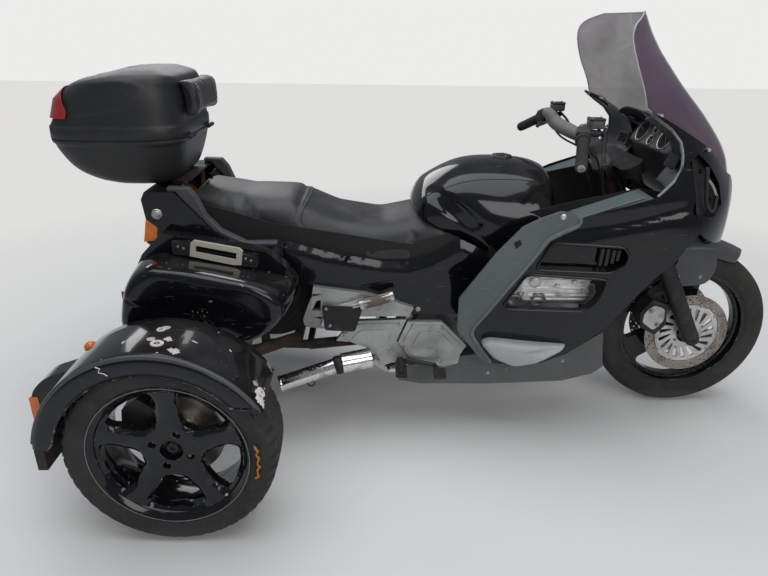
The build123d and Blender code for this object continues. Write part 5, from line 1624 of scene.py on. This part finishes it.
# Pannier latches and other fittings
def make_fittings():
    out = (0, -1, 0)
    round_heads = {"both": True, "hexed": False}
    for k, (x, low, high) in enumerate(((-1766, 706, 748), (-1562, 668, 708))):
        latch = rounded([(x - 27, low), (x + 27, low - 6), (x + 27, high - 6), (x - 27, high)], 6)
        plate(f"pannier_latch_{k}", latch, (-300, -313), "dark_plastic", bevel=0.003, both=True)
        middle = (low + high) / 2
        places = [(x - 8, -314, middle + 4), (x + 8, -314, middle - 2)]
        bolts(f"pannier_latch_screw_{k}", places, out, 3.4, 2.4, **round_heads)
    rivets = [(-1700 + 14 * k, -479, 590 - 3 * (k % 2)) for k in range(4)] + [(-1668, -479.5, 574)]
    bolts("pannier_rivets", rivets, out, 2.2, 1.2, "bolt", "pannier_lid_right", **round_heads)
    lock = [(0, 7), (9, 7), (11, 5), (15, 4.5), (17, 2), (17, -2)]
    turned("tail_lock_right", lock, at(-1848, -248, 815), out, "bright", slot="chrome", steps=28)
    cap = [(0, 7), (26, 6.5), (33, 4), (36, 1), (38, -4)]
    turned("filler_cap", cap, at(-735, 0, 957), (0.02, 0, 1), "black_cast", steps=48)
    places = [(x, y, 962) for x, y in circle(29, 5, -735)]
    bolts("filler_cap_screws", places, (0, 0, 1), 2.6, 2, hexed=False)
    places = [(-599, -trim_reach(-599, 838) - 1, 838)]
    bolts("trim_screw", places, (0, -1, 0.15), 7.5, 3, "bright", **round_heads)
    # The slot is a near-black plate: painted shade of the slot's hollow.
    slot = rounded([(-740, 752), (-722, 762), (-707, 736), (-728, 723)], 3)
    y = -trim_reach(-722, 745)
    plate("trim_slot", slot, (y + 3, y - 0.6), "void", bevel=0.0004, both=True)
    for k, (x, z) in enumerate(((-500, 276), (-697, 244), (-762, 226))):
        bolts(f"pan_screw_{k}", [(x, -215.5, z)], out, 5.5, 3, **round_heads)
    face = rounded([(-733, 626), (-480, 640), (-470, 622), (-480, 588), (-735, 572)], 14)
    plate("valve_cover_face", face, (-282, -290), "bright", bevel=0.004, both=True)
    for k, z in enumerate((586, 600, 614)):
        rib = rounded([(-722, z - 3), (-486, z + 4), (-486, z + 9), (-722, z + 2)], 2)
        plate(f"valve_cover_rib_{k}", rib, (-288, -293), "bright", both=True)
    cap = [(0, 12), (14, 12), (18, 9), (18, 3), (22, 2), (24, -2)]
    turned("oil_cap", cap, at(-653, -290, 613), out, "bright", steps=24, both=True)
    places = [(-579, -291, 598), (-525, -291, 612), (-716, -291, 590)]
    bolts("valve_bolts", places, out, 8, 7, "bright", both=True)
    port = [(17, -4), (17, 16), (21, 18), (26, 17), (27, 12), (27, -4)]
    for k, x in enumerate((-711, -632)):
        turned(f"exhaust_port_{k}", port, at(x, -264, 545), (0, -1, -0.4), "bright", steps=28, both=True)
    bracket = rounded([(-196, 385), (-150, 352), (-118, 392), (-122, 438), (-162, 452), (-192, 424)], 12)
    plate("caliper_bracket", bracket, (-118, -124), "bright", "steering", bevel=0.003, both=True)
    bolts("caliper_bolts", [(-170, -125, 430), (-140, -125, 375)], out, 7, 6, "bolt", "steering", both=True)


# Inner cowl and instruments
BOX_FACES = ((0, 1, 2, 3), (7, 6, 5, 4), (0, 4, 5, 1), (1, 5, 6, 2), (2, 6, 7, 3), (3, 7, 4, 0))


def make_inner_cowl():
    outer = [
        (-384, 1150), (-345, 1122), (-301, 1093), (-270, 1058), (-262, 1020), (-264, 985), (-285, 950),
        (-331, 906),
    ]
    inner = [
        (-330, 1106), (-292, 1086), (-262, 1062), (-240, 1040), (-228, 1012), (-226, 985), (-232, 958),
        (-262, 915),
    ]
    rows = []
    for (xo, zo), (xi, zi) in zip(resampled(outer, 40, False), resampled(inner, 40, False)):
        wide = hull.reach(xo, zo) - 5
        row = []
        for t in np.linspace(0, 1, 16):
            bow = 26 * math.sin(math.pi * t)
            row.append(at(xo + (xi - xo) * t + bow, -(wide + (158 - wide) * t), zo + (zi - zo) * t))
        rows.append(row)
    add_piece(
        "inner_cowl", *lofted(rows, closed=False, caps=OPEN), "cowl_grey", node="dash_cowl", sharp=60,
        both=True, wall=0.003, wall_offset=0,
    )
    tube("inner_cowl_edge", [row[0] for row in rows], 0.0048, "cowl_edge", node="dash_cowl", both=True)


def make_dials():
    centre = at(-219, 0, 1034)
    out, up = Vector((-0.9, 0, 0.436)).normalized(), Vector((0.436, 0, 0.9)).normalized()
    over = Vector((0, 1, 0))
    line = rounded([(-162, -43), (162, -43), (154, 26), (116, 44), (-116, 44), (-154, 26)], 20)
    levels = ((-14, 1.0), (-4, 1.0), (0, 0.985), (1.5, 0.96))
    rings = []
    for d, k in levels:
        middle = centre + out * (d / 1000)
        rings.append([middle + (over * a + up * b) * k / 1000 for a, b in line])
    add_piece("dash_face", *lofted(rings), "cowl_grey", node="gauges", sharp=40)
    for k, (a, b, r) in enumerate(((-90, 1, 37), (90, 1, 37), (0, 21, 17), (0, -20, 17))):
        spot = centre + (over * a + up * b) / 1000 + out * 0.0015
        ring = [(r + 3, -1), (r + 3, 2), (r + 1, 4), (r - 1.5, 3.4), (r - 2.5, 0), (r - 2.5, -1)]
        turned(f"dial_ring_{k}", ring, spot, out, "bright", slot="black_plastic", steps=48)
        turned(f"dial_face_{k}", [(0, 0.6), (r - 2, 0.6), (r - 2, 0)], spot, out, "void", steps=48)
        steps = 20 if r > 30 else 8
        strokes = []
        for m in range(steps + 1):
            x, z = polar(1, 225 - m * 270 / steps)
            near, far = r * 0.78, r * 0.9
            corners = ((near, -0.6), (near, 0.6), (far, 0.6), (far, -0.6))
            strokes.append((over * -x + up * z, corners, (0.0009, 0.0003)))
        hand = (over * 0.7 + up * 0.3 if k % 2 else over * -0.6 - up * 0.5).normalized()
        corners = ((-r * 0.12, -0.9), (-r * 0.12, 0.9), (r * 0.72, 0.3), (r * 0.72, -0.3))
        strokes.append((hand, corners, (0.0022, 0.0012)))
        parts = []
        for way, corners, lifts in strokes:
            side = way.cross(out)
            parts.append((
                [spot + way * d / 1000 + side * w / 1000 + out * lift for lift in lifts for d, w in corners],
                BOX_FACES,
            ))
        add_piece(f"dial_marks_{k}", *joined(parts), "marks")


def make_cockpit():
    make_inner_cowl()
    make_dials()
    hood = []
    for t in np.linspace(0, 1, 24):
        rise = np.interp(t, (0, 0.35, 0.7, 1), (0, 20, 34, 40))
        row = []
        for a in np.linspace(-1, 1, 30):
            bend = 28 * (1 - abs(a) ** 3) * (0.6 + 0.4 * t)
            row.append(at(-206 - 98 * t, 160 * a * (1 - 0.14 * t), 1054 + rise + bend))
        hood.append(row)
    apron = resampled([(-236, 1000), (-218, 962), (-196, 900), (-170, 850), (-140, 822)], 14, False)
    apron = [[at(x, y, z) for y in np.linspace(-165, 165, 12)] for x, z in apron]
    for name, rows, node, wall in (
        ("dash_hood", hood, "gauges", 0.004), ("dash_apron", apron, "dash_cowl", 0.003),
    ):
        skin = lofted(rows, closed=False, caps=OPEN)
        add_piece(name, *skin, "dark_plastic", node=node, sharp=60, wall=wall)
    vent = rounded([(-26, -24), (26, -20), (24, 24), (-24, 22)], 7)
    for side, label in SIDES:
        spot = at(-246, side * 192, 992)
        way = Vector((-0.86, -side * 0.4, 0.3)).normalized()
        a = way.cross(Vector((0, 0, 1))).normalized()
        b = a.cross(way).normalized()
        # Each vent's hole is a near-black plug: painted shade inside the vent.
        for name, size, depth, finish in (
            ("vent_rim", 1.0, 7, "cowl_grey"), ("vent_hole", 0.78, 7.6, "void"),
        ):
            rings = [
                [spot + way * d / 1000 + (a * p + b * q) * size * k / 1000 for p, q in vent]
                for d, k in ((-26, 1.05), (depth - 2, 1), (depth, 0.96))
            ]
            add_piece(f"{name}_{label}", *lofted(rings), finish)
        for k in range(4):
            middle = spot + way * 0.0085 + b * (-0.0135 + 0.009 * k)
            tube(f"vent_rib_{k}_{label}", [middle - a * 0.019, middle + a * 0.019], 0.0014, "dark_plastic")


# Linings that close the view inside. Its dark plates, seat skirts and tank linings are painted shade: dark
# sheets where the inside of the body is only in shade.
def make_linings():
    recess = [
        (-245, 1020), (-215, 880), (-200, 812), (-120, 812), (-66, 868), (-86, 944), (-160, 1010),
        (-220, 1046),
    ]

    def sunk(x, z):
        return hull.reach(x, z) - 30

    curved_plate("mirror_recess", rounded(recess, 20), [], sunk, 3, "dark_plastic")
    loop = [
        (-236, 1018), (-224, 945), (-212, 900), (-206, 862), (-200, 842), (-148, 836), (-102, 868),
        (-120, 934), (-160, 984), (-210, 1026),
    ]
    rings = [[at(x, d - hull.reach(x, z), z) for x, z in looped(loop, 90)] for d in (1, 12, 31)]
    add_piece("mirror_recess_wall", *lofted(rings, caps=OPEN), "dark_plastic", sharp=60)
    bracket = [(-190, -322, 990), (-180, -318, 940), (-168, -322, 880), (-140, -312, 856), (-130, -300, 900)]
    tube("mirror_bracket", [at(*p) for p in bracket], 0.006, "black_cast")
    arm = [(-185, -318, 960), (-150, -300, 930), (-128, -296, 895)]
    tube("mirror_bracket_arm", [at(*p) for p in arm], 0.005, "bolt", slot="black_alloy")
    low_plate = [
        (-1560, 575), (-1380, 590), (-1120, 560), (-1120, 470), (-1240, 400), (-1380, 372), (-1500, 330),
        (-1580, 330),
    ]
    high_plate = [
        (-1720, 700), (-1440, 700), (-1260, 660), (-1260, 560), (-1420, 560), (-1560, 480), (-1700, 480),
    ]
    skirt = [
        (-1740, 840), (-1500, 770), (-1330, 745), (-1150, 716), (-1040, 700), (-930, 740), (-880, 720),
        (-880, 640), (-1060, 600), (-1330, 640), (-1560, 680), (-1740, 740),
    ]
    lining = [
        (-780, 790), (-560, 850), (-330, 900), (-200, 880), (-200, 640), (-420, 560), (-640, 620),
        (-800, 660),
    ]
    for side, label in SIDES:
        # Painted shade: dark sheets inside the sides, under the seat and beside the tank.
        for name, outline, soft, y, thick, finish, slot, bevel in (
            ("inner_dark_plate_0_", low_plate, 20, 118, 3, "inner_dark", "chassis_steel", 0.0006),
            ("inner_dark_plate_1_", high_plate, 20, 200, 3, "gloss", "chassis_steel", 0.0006),
            ("seat_skirt_", skirt, 12, 186, 3, "inner_dark", None, 0.0006),
            ("tank_lining_", lining, 20, 206, 2, "inner_dark", None, 0.0005),
        ):
            span = (side * y, side * (y + thick))
            plate(name + label, rounded(outline, soft), span, finish, slot=slot, bevel=bevel)
        wires = np.random.default_rng(7)
        for k in range(6):
            a = np.array((-1420 + 40 * k, side * (128 + 6 * k), 560 - 10 * k))
            b = a + (wires.uniform(-60, 60), side * wires.uniform(6, 26), -wires.uniform(60, 110))
            c = b + (wires.uniform(-90, 30), side * wires.uniform(-10, 12), -wires.uniform(30, 80))
            run = [at(*a), at(*b), at(*c)]
            tube(f"loose_wire_{k}_{label}", run, 0.0032, "inner_dark", slot="chassis_steel")
    outline = [
        (-1411, 443), (-1380, 528), (-1335, 541), (-1104, 524), (-1100, 496), (-1191, 482), (-1249, 443),
        (-1338, 408), (-1405, 418),
    ]
    hole = rounded([(-1388, 458), (-1362, 515), (-1321, 516), (-1350, 443)], 8)
    loop = rounded(outline, 12)
    plate("frame_slot_plate", loop, (-226, -233), "cover", bevel=0.003, holes=[hole], both=True)


# Tip-over guards
def make_guards():
    outline = rounded([
        (-818, 402), (-790, 418), (-660, 406), (-530, 396), (-538, 376), (-630, 330), (-704, 318),
        (-772, 348),
    ], 16)
    outline = looped(outline, 90)
    mx, mz = outline.mean(0)
    levels = (
        (1.0, 262), (1.0, 318), (0.985, 326), (0.95, 333), (0.88, 339), (0.72, 344), (0.45, 347), (0.15, 348),
    )
    for side, label in SIDES:
        rings = []
        for t, out in levels:
            ring = []
            for x, z in outline:
                tuck = 14 * max(0, x + 600) / 90
                ring.append(at(mx + (x - mx) * t, side * (out - tuck), mz + 6 * (1 - t) + (z - mz) * t))
            rings.append(ring)
        add_piece("guard_pillow_" + label, *lofted(rings), "guard", node="tip_over_guards", sharp=60)


# Small marks and lamps
def make_marks():
    strip = rounded([(-2183, 268), (-2156, 268), (-2156, 348), (-2183, 348)], 6)
    dome = [(0, 14), (8, 13), (14, 9), (16, 3), (18, 2), (18, -3)]
    crack = ((322, 110.5), (314, 109), (306, 110.6), (298, 108.4), (290, 107.4))
    for side, label in SIDES:
        plate("pod_side_lens_" + label, strip, (side * 556, side * 563), "orange", bevel=0.002)
        spots = [polar(243 + 4 * math.sin(a), a) for a in np.linspace(-14, 12, 12)]
        mark = [at(REAR_X + x, side * 778.5, REAR_Z + z) for x, z in spots]
        fat = [0.003 + 0.001 * math.sin(2.1 * k) for k in range(12)]
        tube("chalk_mark_" + label, mark, fat, "chalk", "rear_wheel_" + label, smooth=False)
        place = at(-1967, side * 576, 526.5)
        turned("marker_dome_" + label, dome, place, (-0.67, 0, 0.74), "orange", steps=28)
        line = [on_fender(radius, side * 785.4, angle) for radius, angle in crack]
        tube("fender_crack_" + label, line, 0.0016, "filler", smooth=False)
    outline = rounded([(-9, -20), (9, -20), (9, 20), (-9, 20)], 4)
    for side, label in SIDES:
        rings = [[at(-1921 + d, side * (408 + a), 604 + b) for a, b in outline] for d in (18, -2, -4)]
        add_piece("pannier_reflector_" + label, *lofted(rings), "red", "pannier_lid_" + label)


set_camera()
set_world()
lamp("sky", (-0.2, -0.4, 5.2), (0, 0, 0.6), (6.5, 4.5), 210, (0.93, 0.97, 1))
lamp("side", (2.2, -5.0, 3.2), (0, 0, 0.5), (3.5, 2.5), 95, (1, 0.98, 0.95))
lamp("far", (-2.5, 5.0, 3.5), (0, 0, 0.6), (3.5, 2.5), 80)
make_floor()

# Nodes that are shown as the CAD has them
for finish, names in (
    ("cradle", "axle_cradle rear_axle"),
    ("chrome", "exhausts"),
    ("frame", "fairing_stays frame luggage_rack"),
    ("black_cast", "foot_controls"),
    ("pocket", "pocket_lid_left pocket_lid_right"),
    ("rear_disc", "rear_disc_left rear_disc_right"),
    ("red", "rear_lamps"),
    ("bright", "screen_screws"),
):
    for name in names.split():
        shown = nodes[name].data.materials
        for index in range(len(shown)):
            shown[index] = finishes[finish]

for make in (
    make_tank, make_seat, make_top_box, make_tyres, make_fenders, make_fairings, make_screen, make_mudguard,
    make_panniers,
):
    make()

# Nodes that only need rounded edges: finish, bevel in millimetres and the angle that counts as an edge
for node, finish, bevel, sharp in (
    ("front_rim", "wheel", 2, 34), ("tail_cowl", "gloss", 6, 40), ("pannier_trays", "box_gloss", 2, 34),
    ("lamp_pods", "gloss", 6, 34), ("belly_pan", "pan", 8, 34), ("heel_plates", "cover", 4, 34),
    ("peg_brackets", "cover", 3, 34), ("pannier_handles", "cream", 3, 34), ("engine", "engine", 6, 34),
    ("valve_covers", "bright", 6, 34), ("mirror_housings", "gloss", 3, 34),
    ("grab_rails", "trim_dark", 6, 34),
    ("fork", "black_cast", 4, 40), ("topbox_reflectors", "red", 2, 40),
    ("front_calipers", "black_cast", 4, 34), ("rear_calipers", "black_cast", 6, 34),
    ("radiator", "black_cast", 3, 34), ("marker_lamps", "orange", 3, 34),
    ("handbrake_lever", "bright", 4, 34), ("fairing_shelves", "trim", 2, 34),
):
    softened(node, finish, bevel / 1000, sharp)

for make in (
    make_rear_rims, make_nose, make_side_panels, make_bars, make_front_discs, make_low_covers, make_fittings,
    make_cockpit, make_linings, make_guards, make_marks,
):
    make()
